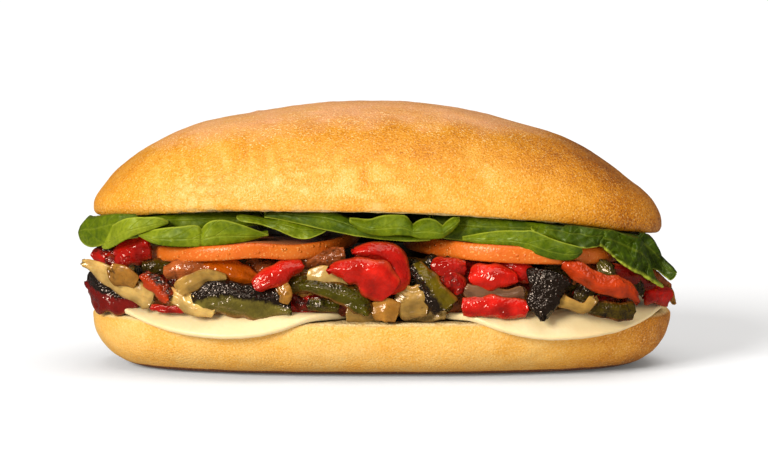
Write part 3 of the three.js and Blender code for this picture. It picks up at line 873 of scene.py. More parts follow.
def leaf_finish():
    material, tree, shader, place = new_finish("spinach", LEAF_ROUGHNESS)
    shader.inputs["Specular IOR Level"].default_value = LEAF_GLOSS
    shader.inputs["Specular Tint"].default_value = GREEN_GLOSS
    uv = tree.nodes.new("ShaderNodeUVMap")
    uv.uv_map = "leaf"
    split = tree.nodes.new("ShaderNodeSeparateXYZ")
    tree.links.new(uv.outputs["UV"], split.inputs[0])
    along = split.outputs["X"]
    across = maths(tree, "ABSOLUTE", maths(tree, "SUBTRACT", split.outputs["Y"], MIDRIB_AT))
    fine = noise_at(tree, place, *LEAF_GRAIN)
    tone = plus(tree, attribute(tree, "ripeness"), swing(tree, noise_at(tree, place, LEAF_CLOUDS), 0.9))
    tone = plus(tree, tone, swing(tree, fine, 0.5))
    base = ramp(tree, tone, LEAF_STOPS)
    slanted = maths(tree, "SUBTRACT", along, times(tree, across, SIDE_VEIN_SLANT))
    beat = maths(tree, "FRACT", times(tree, slanted, SIDE_VEINS))
    side = maths(tree, "ABSOLUTE", maths(tree, "SUBTRACT", beat, 0.5))
    side_vein = ramp(tree, side, [(0.0, 1.0), (0.07, 0.0)])
    midrib = ramp(tree, across, [(0.0, 1.0), (0.02, 0.7), (0.04, 0.0)])
    veins = maths(tree, "MAXIMUM", times(tree, side_vein, 0.1), times(tree, midrib, 0.16))
    # The pale rim is partly the leaf's paler edge and partly a painted highlight along it.
    pale_and_highlight = maths(tree, "MAXIMUM", veins, times(tree, attribute(tree, "rim"), 0.8))
    tree.links.new(mix(tree, pale_and_highlight, base, VEIN), shader.inputs["Base Color"])
    quilt = times(tree, noise_at(tree, place, *LEAF_QUILT), 2.6)
    height = plus(tree, quilt, times(tree, fine, 0.2))
    height = maths(tree, "SUBTRACT", height, times(tree, veins, 2.2))
    bump(tree, shader, height, LEAF_BUMP, 0.7)
    sheen = plus(tree, times(tree, noise_at(tree, place, LEAF_SHEEN), 0.5), 0.15)
    tree.links.new(sheen, shader.inputs["Roughness"])
    return material


SPINACH = leaf_finish()
print("spinach finish:", len(SPINACH.node_tree.nodes), "nodes")

# %% [markdown]
# The leaves at the front stand between the crown and the tomato. Each is given by
# stations along the sandwich: where it is, how far it stands forward, and the heights
# of its lower and upper rim. Some hang down from under the crown, with a free lower
# rim. Others are cupped the other way and show a free upper rim, so that a dark gap is
# left behind it. The rest of each leaf runs inwards, out of sight. A flat grid takes
# this shape, because a real leaf is a sheet too, and a Solidify modifier thickens it.

# %% Leaves at the front
Leaf = namedtuple("Leaf", "name ripeness free inside bow crumple rim stations")
FRONT_LEAVES = [
    Leaf("spinach_01", 0.5, "low", 10, 0.9, 0.2, 0.4, [
        (-78.4, -15, 36.6, 37.1), (-77.7, -16.5, 34.9, 38.6), (-76.3, -18, 33.7, 40.1),
        (-74.3, -20, 33.4, 40.7), (-71.4, -23, 34.3, 41.6), (-68, -26, 35.9, 42.3),
        (-64.1, -27, 36.4, 42.5), (-58.9, -27, 37.2, 42.8), (-52.4, -27, 38, 42.9),
        (-44.6, -27, 38.4, 43.1), (-36.8, -27, 39.2, 43.1), (-29.8, -27, 40.2, 43.1)]),
    Leaf("spinach_02", 0.74, "high", 6, 0.5, 0.1, 0.5, [
        (-71.8, -21, 33.8, 35.1), (-71.2, -23, 33.4, 36.9), (-69.9, -25, 33.6, 38.4),
        (-68.2, -27.5, 34.5, 39.9), (-66.2, -30, 35.8, 41.2), (-64.3, -31.5, 36.9, 42),
        (-61.9, -32, 38, 42.3), (-59.3, -32, 38.9, 42.3), (-57, -32, 39.7, 42.3),
        (-55.2, -31.6, 40.3, 41.8), (-54, -31, 40.7, 41.1)]),
    Leaf("spinach_03", 0.62, "high", 4, 0.8, 0.15, 0.5, [
        (-61.4, -31, 37.6, 38.1), (-59.6, -32, 36.7, 38.8), (-57.7, -33, 36, 39.1),
        (-55.3, -34, 35.5, 39.6), (-52.7, -34.6, 35.3, 40), (-50.1, -35, 35.3, 40.2),
        (-47.8, -35.2, 35.3, 40.5), (-46, -35.2, 35.3, 40.3), (-45, -34.8, 35.3, 39.4),
        (-44.2, -35.2, 35.3, 40.5), (-43.1, -35.4, 35.4, 41.4), (-41.6, -35.4, 35.5, 41.9),
        (-39.5, -35.2, 35.7, 41.9), (-37.5, -35, 36, 41.4), (-34.9, -34.6, 36.3, 40.6),
        (-32.4, -34, 36.8, 39.6), (-29.8, -33.4, 37.5, 38.6), (-28, -33, 37.9, 38.1)]),
    Leaf("spinach_04", 0.58, "low", 4, 0.3, 0.5, 0.4, [
        (-36.1, -31, 41.9, 42.6), (-34.8, -31, 41.2, 42.8), (-32.8, -31, 40.9, 42.6),
        (-30.7, -31.3, 40.6, 42.2), (-28.6, -31.6, 40, 41.8), (-26.5, -32, 39.4, 41.6),
        (-24.7, -32.3, 38.7, 41.5), (-22.9, -32.6, 37.9, 41.3), (-21.1, -32.7, 37.2, 40.9),
        (-19.3, -32.8, 36.9, 40.5), (-17.5, -32.8, 37, 40.3), (-15.7, -32.6, 37.6, 40),
        (-14.1, -32.3, 38.3, 39.7), (-12.6, -32, 39.2, 39.5)]),
    Leaf("spinach_05", 0.4, "low", 12, 0.7, 0.15, 0.4, [
        (-28.9, -30.5, 42.2, 43), (-27.6, -31, 42.2, 43.7), (-25, -31.6, 41.8, 44),
        (-21.9, -32.2, 41.2, 44), (-18.5, -32.8, 40.5, 44.1), (-14.6, -33.4, 39.6, 44.1),
        (-11.5, -33.8, 39, 43.6), (-8.2, -34.2, 38.4, 42.4), (-5.6, -34.4, 37.9, 41.1),
        (-2.8, -34.6, 37.6, 39.8), (0.6, -34.6, 37.1, 39), (3.9, -34.4, 36.8, 38.5), (7.3, -34, 36.5, 38.1),
        (10.6, -33.6, 36.5, 37.6), (13.7, -33, 36.6, 37.1)]),
    Leaf("spinach_06", 0.58, "high", 4, 0.8, 0.3, 0.5, [
        (-6.9, -35.2, 41.7, 42.4), (-5.3, -35.6, 40.2, 42.4), (-3.5, -35.8, 39.1, 42.2),
        (-1.5, -36, 38.5, 42.2), (0.6, -36.2, 38.2, 42.9), (2.4, -36.3, 38.2, 43.3),
        (4.2, -36.3, 38.3, 43.5), (6, -36.3, 38.4, 43.5), (7.5, -36.3, 38.3, 43), (8.5, -36.2, 38.2, 41.8),
        (9.3, -36, 38, 40.8), (10.2, -36.3, 37.7, 41.5), (11.5, -36.4, 37.5, 42.2),
        (13.2, -36.4, 37.4, 42.4), (15, -36.3, 37.4, 42), (16.3, -36.1, 37.5, 41), (17, -35.9, 37.7, 40.6),
        (17.9, -35.8, 38.3, 41.5), (19.2, -35.6, 39.2, 42.4), (20.4, -35.3, 40.5, 42.8),
        (21.2, -35, 41.7, 42.6)]),
    Leaf("spinach_07", 0.46, "low", 12, 0.6, 0.3, 0.4, [
        (14.4, -30, 37.1, 42.3), (18.9, -31, 36.6, 42.4), (22, -31.6, 36.3, 42.4),
        (26.6, -32.2, 35.8, 42.4), (31.8, -32.6, 35.7, 42.3), (37, -32.6, 35.8, 41.9),
        (42.1, -32.2, 36.2, 41.5), (47.3, -31.6, 36.8, 40.8), (52.5, -31, 37.7, 40)]),
    Leaf("spinach_08", 0.6, "high", 3, 0.9, 0.35, 0.4, [
        (22.2, -34.6, 36.9, 37.5), (24, -35.2, 36.6, 37.9), (26.5, -35.8, 36.1, 38.5),
        (29.1, -36.2, 35.9, 38.9), (31.9, -36.6, 35.7, 39.2), (34.7, -37, 35.5, 39.3),
        (37.3, -37.4, 34.9, 39.3), (39.8, -37.7, 34.1, 39.4), (42.4, -38, 33.1, 38.4),
        (44.9, -38, 32.4, 37.3), (47.5, -37.8, 32.1, 36.4), (49.6, -37.4, 32.1, 35.8),
        (51.4, -36.8, 32.6, 35.3), (52.7, -36, 33.7, 34.8)]),
    Leaf("spinach_09", 0.5, "low", 8, 0.5, 1.8, 0.4, [
        (39.8, -32.6, 39.3, 40.1), (41.6, -33, 38.3, 40.4), (43.6, -33.6, 37.4, 40.5),
        (46.2, -34, 36.6, 40.4), (48.7, -34.2, 35.7, 40.3), (51.3, -34.2, 34.9, 40.1),
        (53.9, -33.8, 34.7, 39.7), (56.3, -33.2, 34.9, 39.3), (58.6, -31, 35.3, 38.8),
        (61.3, -28.6, 36, 38.2)]),
    Leaf("spinach_10", 0.56, "low", 5, 0.6, 2.8, 1.1, [
        (56.6, -31.6, 35.6, 37.4), (58.2, -31.6, 34.6, 38.6), (60.3, -31, 32.8, 38.7),
        (62.4, -30, 30.8, 38), (64.6, -29, 29.2, 37.2), (66.7, -27.6, 27.8, 36.5), (68.7, -26, 26.8, 35.7),
        (70, -25, 25.9, 33.5), (71.1, -24.2, 25.2, 30.2), (72.5, -23.4, 24.2, 25.9),
        (73.9, -22.8, 23.4, 24), (74.9, -22.4, 22.9, 23.2)]),
    Leaf("spinach_11", 0.5, "low", 8, 0.4, 1.6, 0.3, [
        (59.6, -25, 35.6, 38.8), (63, -24, 34.6, 38.4), (66.9, -22, 31.3, 37.6), (69, -21, 29.6, 37.5),
        (70.9, -20.4, 28.3, 36.4), (72.5, -20, 27.6, 34.6), (73.9, -19.6, 26.9, 32.6),
        (74.9, -19.4, 26, 30.2), (76, -19.2, 25.2, 29.1), (77, -19.2, 24.7, 28.1), (78, -19.2, 25.3, 27.2),
        (78.5, -19.2, 26.3, 26.7)]),
]
LEAF_THICKNESS = 0.45
LEAF_BLUNTNESS = 9.0
LEAF_CLEARANCE = 0.5
HANG_SHARE = 0.7
LEAF_LEAN = 1.1
RIM_RIPPLE = 0.25
RIM_RIPPLE_LENGTH = 1.9
TUCKED_PAST = 2
TUCKED_RISE = 0.12
DEEP_LEAF = 8
DEEP_LEAF_LIFT = (0.6, 1)
DEEP_LEAF_INSIDE = (76, 68)
BIG_FOLDS = 4.5
SMALL_FOLDS = 2.2
FRONT_LEAF_GRID = (110, 36)
GREENER_TO_RIGHT = (38, 50)
RIPENESS_DROP = 0.34


def crown_front(x):
    """How far forward the crown reaches at a place along it."""
    share = min(1.0, abs(x) / CROWN_HALF_LENGTH)
    return -CROWN_HALF_WIDTH * (1 - share**ROLL_SQUARENESS) ** (1 / ROLL_SQUARENESS)


def front_leaf_place(leaf, along, across, seed):
    """A point of a front leaf, and how near it is to the pale rim, partly a painted highlight; across starts
    at the free rim.
    """
    x, y, low, high = along_curve(leaf.stations, along)
    full = max(0.0, 1 - abs(2 * along - 1) ** LEAF_BLUNTNESS) ** (1 / LEAF_BLUNTNESS)
    length = abs(leaf.stations[-1][0] - leaf.stations[0][0])
    hang = min(1.0, across / HANG_SHARE)
    rise = hang if leaf.free == "low" else 1 - hang
    z = low + (high - low) * rise
    y += LEAF_LEAN * rise - leaf.bow * math.sin(rise * math.pi) * full
    y -= RIM_RIPPLE * (1 - hang) ** 2 * math.sin(along * length / RIM_RIPPLE_LENGTH + seed)
    if across > HANG_SHARE:
        inner = (across - HANG_SHARE) / (1 - HANG_SHARE)
        deep = inner * full * (leaf.inside + TUCKED_PAST)
        y += deep
        if leaf.free == "high":
            z += TUCKED_RISE * deep
        elif leaf.inside >= DEEP_LEAF:
            lift = ease(*DEEP_LEAF_LIFT, inner) * ease(*DEEP_LEAF_INSIDE, abs(x))
            z += (crown_cut(x) - LEAF_CLEARANCE - high) * lift
    place = Vector((x, y, z + seed * 9))
    fold = 0.4 - 1.3 * abs(noise.noise(place / BIG_FOLDS)) - 0.6 * abs(noise.noise(place / SMALL_FOLDS))
    y -= leaf.crumple * fold + 0.2 * lumps(place, 6)
    end = min(along, 1 - along) * length
    # The pale rim near the free edge: partly the leaf's paler edge, partly a painted highlight.
    rim = ease(leaf.rim, 0.2 * leaf.rim, min(hang * (high - low), end))
    under_crown = y > crown_front(x) - LEAF_CLEARANCE
    return Vector((x, y, min(z, crown_cut(x) - LEAF_CLEARANCE) if under_crown else z)), rim


def leaf_sheet(grid, ripeness, place_at):
    """A grid laid on a leaf, with its UV map, how yellow it has turned, and its pale rim."""
    bm = bmesh.new()
    bmesh.ops.create_grid(bm, x_segments=grid[0], y_segments=grid[1], size=1)
    uv = bm.loops.layers.uv.new("leaf")
    ripe_and_shade, rim = new_values(bm, "ripeness", "rim")
    for face in bm.faces:
        for loop in face.loops:
            loop[uv].uv = ((loop.vert.co.x + 1) / 2, (loop.vert.co.y + 1) / 2)
    for vert in bm.verts:
        vert.co, vert[rim] = place_at((vert.co.x + 1) / 2, (vert.co.y + 1) / 2)
        vert[ripe_and_shade] = ripeness - RIPENESS_DROP * ease(*GREENER_TO_RIGHT, vert.co.x)
    return bm


def finish_leaf(name, bm):
    piece = finish_piece(name, bm, [name], SPINACH)
    wall = piece.modifiers.new("thickness", "SOLIDIFY")
    wall.thickness = LEAF_THICKNESS * MM
    wall.offset = 0


for number, leaf in enumerate(FRONT_LEAVES):
    seed = number * 1.7
    sheet = leaf_sheet(FRONT_LEAF_GRID, leaf.ripeness, lambda s, t: front_leaf_place(leaf, s, t, seed))
    finish_leaf(leaf.name, sheet)

# %% [markdown]
# The leaves in the middle and at the back lie flat and bend over the far edge of the
# filling. They use the same bend as the cheese, and a leaf outline that is blunt at
# the stem and rounder at the tip. The photo can't show them, so they only have to look
# like leaves that someone laid on by hand.

# %% Leaves in the middle and at the back
LEAF_SPACING = 1.2
DRAPE_CLEARANCE = 1.1
DRAPE_EDGE = Edge(71.5, 33.6, 3.6, 6.6, QUARTER)
DRAPED_LEAF_GRID = (72, 34)
TIP_BLUNTNESS = 0.85
STEM_START = 0.06
BLADE_FULLNESS = 0.62
Drape = namedtuple("Drape", "name ripeness along across length width turn layer wave")
DRAPED_LEAVES = [
    # spinach_12 and spinach_13 lie deep in the filling; their lowest tone paints them nearly black green, a
    # painted shade.
    Drape("spinach_12", 0.1, -33, 1, 60, 27, 4, 0, 2.7),
    Drape("spinach_13", 0.1, 31, 1, 54, 27, -6, 0, 2.2),
    Drape("spinach_14", 0.5, -40, 30, 50, 24, -5, 1, 0.3),
    Drape("spinach_15", 0.65, 3, 30, 48, 22, 6, 0, 0.3),
    Drape("spinach_16", 0.4, 44, 29, 44, 24, 0, 1, 0.3),
]


def draped_place(leaf, along, across, seed):
    s = 2 * along - 1
    t = 2 * across - 1
    heading = math.radians(leaf.turn)
    stretch = keep_sign(s, TIP_BLUNTNESS)
    outline = STEM_START + (1 - 2 * STEM_START) * ((1 + stretch) / 2) ** TIP_BLUNTNESS
    blade = math.sin(math.pi * outline) ** BLADE_FULLNESS
    u = stretch * leaf.length / 2
    v = t * blade * leaf.width / 2 * (1 + 0.05 * math.sin(9 * s + seed) * abs(t))
    flat_x = leaf.along + u * math.cos(heading) - v * math.sin(heading)
    flat_y = leaf.across + u * math.sin(heading) + v * math.cos(heading)
    wave = leaf.wave * (1 - math.cos(flat_x * 0.42) * math.cos(flat_y * 0.3))
    curl = 0.35 * abs(t) ** 3 * math.sin(11 * s + 2 * seed)
    x, y, down = over_edge(flat_x, flat_y, leaf.layer * LEAF_SPACING + wave + curl, DRAPE_EDGE)
    # The second value is the pale rim, partly a painted highlight along the edge.
    return Vector((x, y, crown_cut(x) - DRAPE_CLEARANCE - down)), 0.7 * ease(0.9, 1.0, max(abs(s), abs(t)))


for number, leaf in enumerate(DRAPED_LEAVES):
    seed = number * 2.3
    sheet = leaf_sheet(DRAPED_LEAF_GRID, leaf.ripeness, lambda s, t: draped_place(leaf, s, t, seed))
    finish_leaf(leaf.name, sheet)

# %% [markdown]
# The heap is roasted pepper strips and onion over a soft core, painted nearly black as
# shade. Roasted skin is wet and crinkled, so it glints, and it is black where it met the
# flame. A material for each strip would be about a hundred. One recipe serves pepper,
# onion and core instead, and each strip carries attributes: its tint, which holds a painted
# shade that makes the lower side of the strip darker, how charred and how crinkled each
# place is, and a weave that runs along it, for the fibres.

# %% Roasted vegetable finishes
TINTS = {
    "red": (0.5, 0.008, 0.004),
    "bright_red": (0.66, 0.012, 0.005),
    "deep_red": (0.2, 0.006, 0.004),
    "brown_red": (0.44, 0.1, 0.02),
    "orange_red": (0.62, 0.05, 0.006),
    "orange": (0.6, 0.1, 0.001),
    "olive": (0.12, 0.08, 0.002),
    "dark_olive": (0.07, 0.045, 0.002),
    "green": (0.18, 0.14, 0.02),
    "deep_green": (0.08, 0.068, 0.002),
    "black_green": (0.03, 0.02, 0.005),
    "pale_onion": (0.6, 0.37, 0.1),
    "onion": (0.45, 0.25, 0.05),
    "brown_onion": (0.38, 0.16, 0.02),
    "grey_onion": (0.2, 0.09, 0.04),
    # The core is nearly black: painted shade for the depths of the heap.
    "core": (0.03, 0.008, 0.002),
}
CHAR = (0.009, 0.005, 0.003)
RIM = {"pepper": (0.5, 0.09, 0.02), "onion": (0.26, 0.09, 0.01)}


ROAST_CLOUDS = 260.0
ROAST_SPECKS = (900.0, 3.0, 0.6)
ROAST_THREADS = (1.0, 2.0)
ROAST_WET = (500.0, 1.0)
BEAD_FINENESS = 3.2


def roast_finish(name, gloss, shine, grain, depth, fibre):
    """A wet roasted skin, with the scale of its wrinkles, their depth in mm and how fibrous it is."""
    material, tree, shader, place = new_finish(name, gloss)
    shader.inputs["Specular IOR Level"].default_value = shine
    shader.inputs["Specular Tint"].default_value = WARM_GLOSS
    broad = noise_at(tree, place, ROAST_CLOUDS)
    clouds = ramp(tree, broad, [(0.3, 0.25), (0.7, 0.7)])
    base = mix(tree, 0.75, attribute(tree, "tint", "Color"), clouds, "OVERLAY")
    threads = noise_at(tree, attribute(tree, "weave", "Vector"), *ROAST_THREADS)
    base = mix(tree, fibre, base, ramp(tree, threads, [(0.3, 0.3), (0.7, 0.62)]), "OVERLAY")
    speck = noise_at(tree, place, *ROAST_SPECKS)
    burnt = plus(tree, times(tree, plus(tree, speck, broad), 0.5), attribute(tree, "charred"))
    burn = ramp(tree, burnt, [(0.66, 0.0), (0.86, 1.0)])
    tree.links.new(mix(tree, burn, base, CHAR), shader.inputs["Base Color"])
    wet = swing(tree, noise_at(tree, place, *ROAST_WET), 0.3)
    tree.links.new(plus(tree, wet, gloss), shader.inputs["Roughness"])
    ridges = maths(tree, "ABSOLUTE", maths(tree, "SUBTRACT", noise_at(tree, place, grain, 1.0), 0.5))
    beads = times(tree, noise_at(tree, place, BEAD_FINENESS * grain, 0.0), 0.22)
    height = maths(tree, "SUBTRACT", beads, times(tree, ridges, 1.6))
    height = times(tree, height, attribute(tree, "crinkle"))
    height = plus(tree, height, times(tree, threads, fibre))
    bump(tree, shader, plus(tree, height, times(tree, broad, 0.3)), depth * MM)
    return material


PEPPER = roast_finish("roasted_pepper", 0.15, 0.6, 640.0, 0.7, 0.2)
ONION = roast_finish("roasted_onion", 0.18, 0.75, 420.0, 0.5, 0.3)
scatter(ONION.node_tree.nodes["Principled BSDF"], 0.3, (1.0, 0.7, 0.3), 1.2 * MM)
CORE = roast_finish("vegetable_core", 0.5, 0.15, 420.0, 0.6, 0.0)
print("roasted finish:", len(PEPPER.node_tree.nodes), "nodes")

# %% [markdown]
# The strips at the front follow the real ones one by one, because that is where one
# looks. A row says what a strip is and its tint, how charred it is, the side that is
# burnt, how crinkled, how thick, and how high its fold stands. Then come its stations:
# place along, place across, height and width.

# %% Strips at the front
Strip = namedtuple("Strip", "kind tint charred burnt_side crinkle thick curl stations")
FRONT_STRIPS = [
    Strip("pepper", "red", 0.3, 1, 0.74, 5, 0.6, [
        (-74.6, -16, 31, 3), (-72, -18, 31, 5), (-67, -20, 31, 5)]),
    Strip("pepper", "red", 0.15, -1, 0.54, 5, 0.8, [
        (-68, -24, 29, 4), (-66.4, -26, 31.8, 7), (-62.6, -27, 33.8, 7.8), (-58.6, -28, 34.4, 5.4)]),
    Strip("pepper", "deep_red", 0.1, 0, 0.48, 4, 0, [
        (-70.5, -24, 30.5, 3), (-67.6, -26, 28.4, 4), (-66, -27, 27.4, 2)]),
    Strip("pepper", "deep_red", 0.62, 1, 1, 5, 0.8, [
        (-76.4, -12, 23.6, 6), (-73.4, -17, 21.6, 9), (-68.6, -20, 20.2, 8.4), (-62, -23, 19.6, 6)]),
    Strip("onion", "pale_onion", 0, 0, 0.12, 3.2, 0.4, [
        (-77, -22, 29.6, 1.6), (-73, -24, 28.2, 3.4), (-68.4, -26.6, 25.6, 4), (-62.6, -29, 22.6, 4.4),
        (-58, -30, 20.6, 4.2)]),
    Strip("onion", "brown_onion", 0.15, 0, 0.27, 2.8, 0, [
        (-69.4, -28.6, 28.2, 3.2), (-66, -30, 26.8, 4), (-62.4, -30.6, 24.6, 3)]),
    Strip("pepper", "orange_red", 0.34, 1, 1, 4.4, 0.5, [
        (-61, -31, 27.4, 2.6), (-57.6, -33, 25.4, 4), (-55, -34, 23, 3.6), (-53.4, -34.6, 21.2, 2.6)]),
    Strip("pepper", "dark_olive", 0.2, 0, 0.61, 4, 0, [
        (-61, -27, 28.6, 3.6), (-57, -27.6, 28.8, 4), (-52, -27.6, 29, 4)]),
    Strip("pepper", "brown_red", 0.1, 0, 0.48, 5, 0.6, [
        (-55, -31.6, 27.8, 3.6), (-50, -32.6, 29, 5), (-45, -33, 29.2, 5), (-40, -32, 29, 4)]),
    Strip("pepper", "orange", 0, 0, 0.35, 4, 1.2, [
        (-45, -32.6, 29.6, 5), (-40, -33.4, 28.6, 7), (-35, -33.4, 27, 6.4), (-31, -33, 25.6, 4)]),
    Strip("onion", "onion", 0.1, 1, 0.22, 2.4, 0.25, [
        (-51, -36.4, 23.6, 2.8), (-48, -36.8, 26, 3.2), (-43.6, -36.4, 27.6, 2.4),
        (-38.6, -35.6, 27, 1.8)]),
    Strip("onion", "pale_onion", 0.1, 1, 0.22, 2.8, 0.25, [
        (-53.6, -33, 23.6, 2), (-50, -35.6, 21.4, 3.4), (-46, -36.6, 19.6, 3.4), (-41.8, -37, 18, 2)]),
    Strip("pepper", "red", 0.1, 0, 0.48, 2.4, 0, [
        (-58.6, -31.6, 18.9, 1.6), (-54, -33, 18.8, 2), (-49.6, -34, 18.8, 1.8)]),
    Strip("pepper", "green", 0.5, 1, 1, 6, 0.5, [
        (-47.6, -35.4, 20.6, 6), (-42, -36.6, 21.6, 8), (-35, -37, 21.6, 8.2), (-28, -36.8, 20.4, 7),
        (-22, -36, 18.8, 3.6)]),
    Strip("pepper", "bright_red", 0, 0, 0.35, 4.6, 0.8, [
        (-31.6, -36.4, 24.8, 3.6), (-28, -36.8, 27, 5), (-23.6, -36, 29.2, 4.8), (-19, -34.4, 30.2, 3)]),
    Strip("onion", "brown_onion", 0.15, 0, 0.27, 2.6, 0.15, [
        (-24.6, -36, 25.4, 2.4), (-23.4, -36.8, 23, 2.8), (-24, -36.8, 20.6, 1.6)]),
    Strip("pepper", "dark_olive", 0.1, 0, 0.48, 4, 0, [
        (-23, -33, 24, 4), (-19, -33.4, 25.6, 5), (-15, -33, 26.4, 4)]),
    Strip("pepper", "deep_green", 0.25, 0, 0.68, 2.8, 0, [
        (-18, -34, 20, 2.6), (-14, -35, 19.8, 3.2), (-9.6, -35, 19.2, 2)]),
    Strip("onion", "pale_onion", 0, 0, 0.12, 3, 0.3, [
        (-18, -35, 27.6, 2.4), (-14.4, -36, 27.2, 4.2), (-10, -36, 26.8, 3.8), (-7, -35, 27, 2.4)]),
    Strip("pepper", "deep_green", 0.25, 1, 0.68, 3.8, 0.9, [
        (-20, -35, 25.4, 3), (-14, -36.4, 24.6, 3.6), (-8.6, -37.4, 23, 4.6), (-4, -38, 20.4, 5),
        (-2.4, -38, 17.6, 2.4)]),
    Strip("pepper", "bright_red", 0, 0, 0.35, 4.6, 1.2, [
        (-12.4, -37, 29.4, 1.6), (-8.6, -38.4, 29.6, 5), (-4, -39, 28.6, 7.4), (0.6, -39, 26.4, 8.8),
        (4, -38.4, 23.6, 6)]),
    Strip("pepper", "red", 0, 0, 0.35, 5, 1.2, [
        (-6, -35, 33.4, 3), (-0.6, -36, 33.8, 5), (4.4, -36.6, 31.4, 6.4), (6, -37, 27, 5),
        (3, -37, 23.6, 3)]),
    Strip("onion", "brown_onion", 0.1, 0, 0.22, 3.4, 0, [
        (-1.4, -37, 18.4, 3.2), (2, -38, 19.2, 4.4), (5.6, -37.6, 18.2, 3.8)]),
    Strip("onion", "onion", 0.15, 0, 0.27, 3.6, 0, [
        (4.6, -36.4, 22, 5.4), (8.6, -37.4, 21.2, 6.4), (13.4, -37.4, 20.4, 5.6)]),
    Strip("pepper", "olive", 0.42, -1, 0.9, 4, 0.3, [
        (9.6, -35.6, 30.8, 3.6), (12, -37, 27.4, 4.8), (15.2, -38, 23.4, 5.6), (18, -38, 19.4, 5.8)]),
    Strip("pepper", "red", 0.15, 0, 0.54, 4.4, 0, [
        (14, -35, 30, 3.6), (18, -36.4, 30, 4.4), (23, -35.6, 29.6, 3.4)]),
    Strip("pepper", "red", 0.2, 0, 0.61, 4.4, 0, [
        (17.6, -36.8, 28.6, 3.6), (20, -37.2, 25.6, 4.8), (20.6, -37, 23, 3)]),
    Strip("pepper", "bright_red", 0, 0, 0.35, 4.6, 0.9, [
        (24, -36, 27.6, 4), (28, -37.6, 27.8, 6), (32, -37.6, 27.6, 6), (36, -36.4, 26.6, 3)]),
    Strip("pepper", "red", 0, 0, 0.35, 4, 0.6, [
        (31.6, -34, 30, 3), (36, -35, 29, 5.4), (40, -35, 27.6, 4)]),
    Strip("onion", "grey_onion", 0, 0, 0.12, 2.4, 0.2, [
        (22.6, -37, 24.6, 2.4), (27, -37.4, 23, 2.8), (32, -37.4, 22.6, 2.8), (38, -37, 23.6, 2.4)]),
    Strip("pepper", "red", 0.05, 0, 0.41, 4.8, 0, [
        (21.8, -37.6, 19.8, 4.4), (27, -38.4, 20, 5), (33, -38.4, 19.8, 5), (39, -37.8, 19, 4)]),
    Strip("pepper", "black_green", 0.45, 0, 0.94, 3.2, 0.4, [
        (44.8, -37, 29, 8.4), (43.6, -38.4, 25, 9.4), (42.8, -39, 21, 6.6), (43, -39, 16.4, 2)]),
    Strip("onion", "onion", 0.1, 1, 0.22, 2.4, 0.1, [
        (45.6, -36.4, 22, 2), (49.6, -37, 20.4, 2.2), (53.4, -37, 19.6, 2.2), (55.8, -36.6, 22, 2)]),
    Strip("pepper", "dark_olive", 0.3, 0, 0.74, 3.6, 0, [
        (51, -34, 23.4, 4.6), (53.6, -34.6, 22.8, 5), (56, -34, 22.4, 4)]),
    Strip("pepper", "orange_red", 0.1, 1, 0.75, 4.2, 0.9, [
        (47.6, -36, 31, 2.6), (52, -36.4, 28.6, 4), (57, -36, 25.6, 4.2), (61.6, -34.4, 25, 4.6),
        (65.4, -32, 23.4, 4.4), (67.6, -30.4, 20.4, 1.6)]),
    Strip("pepper", "green", 0.3, 1, 0.74, 3, 0.2, [
        (57.6, -30, 30.8, 1.8), (59.4, -31, 28.6, 4), (60, -31, 26.4, 3.6)]),
    Strip("pepper", "dark_olive", 0.2, 0, 0.61, 3.6, 0, [
        (54.4, -34.6, 19, 3), (58.6, -34.4, 18.6, 3.8), (63, -33, 18.2, 4.2), (67, -30.6, 17.8, 4)]),
    Strip("pepper", "dark_olive", 0.3, 0, 0.74, 3, 0, [
        (67.4, -24, 26.6, 3), (68.6, -24.4, 24, 3.4), (69.4, -24, 21.6, 2.6)]),
    Strip("pepper", "brown_red", 0.15, 0, 0.54, 4, 0.4, [
        (67, -20.6, 29, 3.4), (71, -18, 27, 4), (74, -15.6, 24.6, 4), (77, -13, 21.6, 3.4)]),
    Strip("onion", "onion", 0.1, 0, 0.22, 3, 0.15, [
        (-8, -33.4, 17.6, 3), (-2, -34.2, 17.4, 3.4), (4, -34.2, 17.4, 3)]),
    Strip("pepper", "brown_red", 0.2, 0, 0.54, 4, 0.4, [
        (-22, -31.6, 30.4, 3.4), (-15, -32, 31.6, 4.4), (-8, -32.4, 32.6, 4)]),
    Strip("onion", "pale_onion", 0.15, 0, 0.27, 3, 0.15, [
        (6, -34, 17.8, 3), (12, -34.2, 17.9, 3.2), (18, -34, 17.9, 2.6)]),
    Strip("pepper", "deep_red", 0.1, 0, 0.5, 4, 0.4, [
        (60, -30, 28, 4.4), (65, -27, 27, 5), (69, -23, 25.6, 5), (72.6, -19, 23.6, 4.4)]),
    Strip("pepper", "red", 0.1, 0, 0.48, 4.6, 0.4, [
        (70, -21, 20.6, 4), (73.4, -19, 20.8, 5), (77.4, -15, 20.2, 4.4)]),
    Strip("onion", "brown_onion", 0.1, 0, 0.22, 2, 0, [
        (77, -13, 23, 1.6), (78, -13, 20.6, 1.8), (79, -12.6, 18.4, 1)]),
]
print("strips by hand:", len(FRONT_STRIPS))

# %% [markdown]
# The back, both ends and the gaps at the front get strips by a seeded rule, which walks
# round the oval of the heap and gives each strip a level, a length and a lean.

# %% Strips all round the heap
RING_LEVELS = (20.6, 24.8, 28.4)
HEAP_SQUARENESS = 2.7
RING_HALF_LENGTH = 68.0
RING_HALF_WIDTH = 32.5
BACK_KINDS = [
    ("pepper", "red", 0.2),
    ("pepper", "green", 0.4),
    ("onion", "onion", 0.05),
    ("pepper", "deep_red", 0.3),
    ("onion", "pale_onion", 0.1),
    ("pepper", "orange", 0.1),
    ("pepper", "olive", 0.3),
]
GAP_KINDS = [
    ("pepper", "deep_red", 0.2),
    ("pepper", "dark_olive", 0.25),
    ("pepper", "red", 0.15),
    ("onion", "brown_onion", 0.2),
    ("pepper", "deep_green", 0.3),
    ("pepper", "brown_red", 0.2),
]
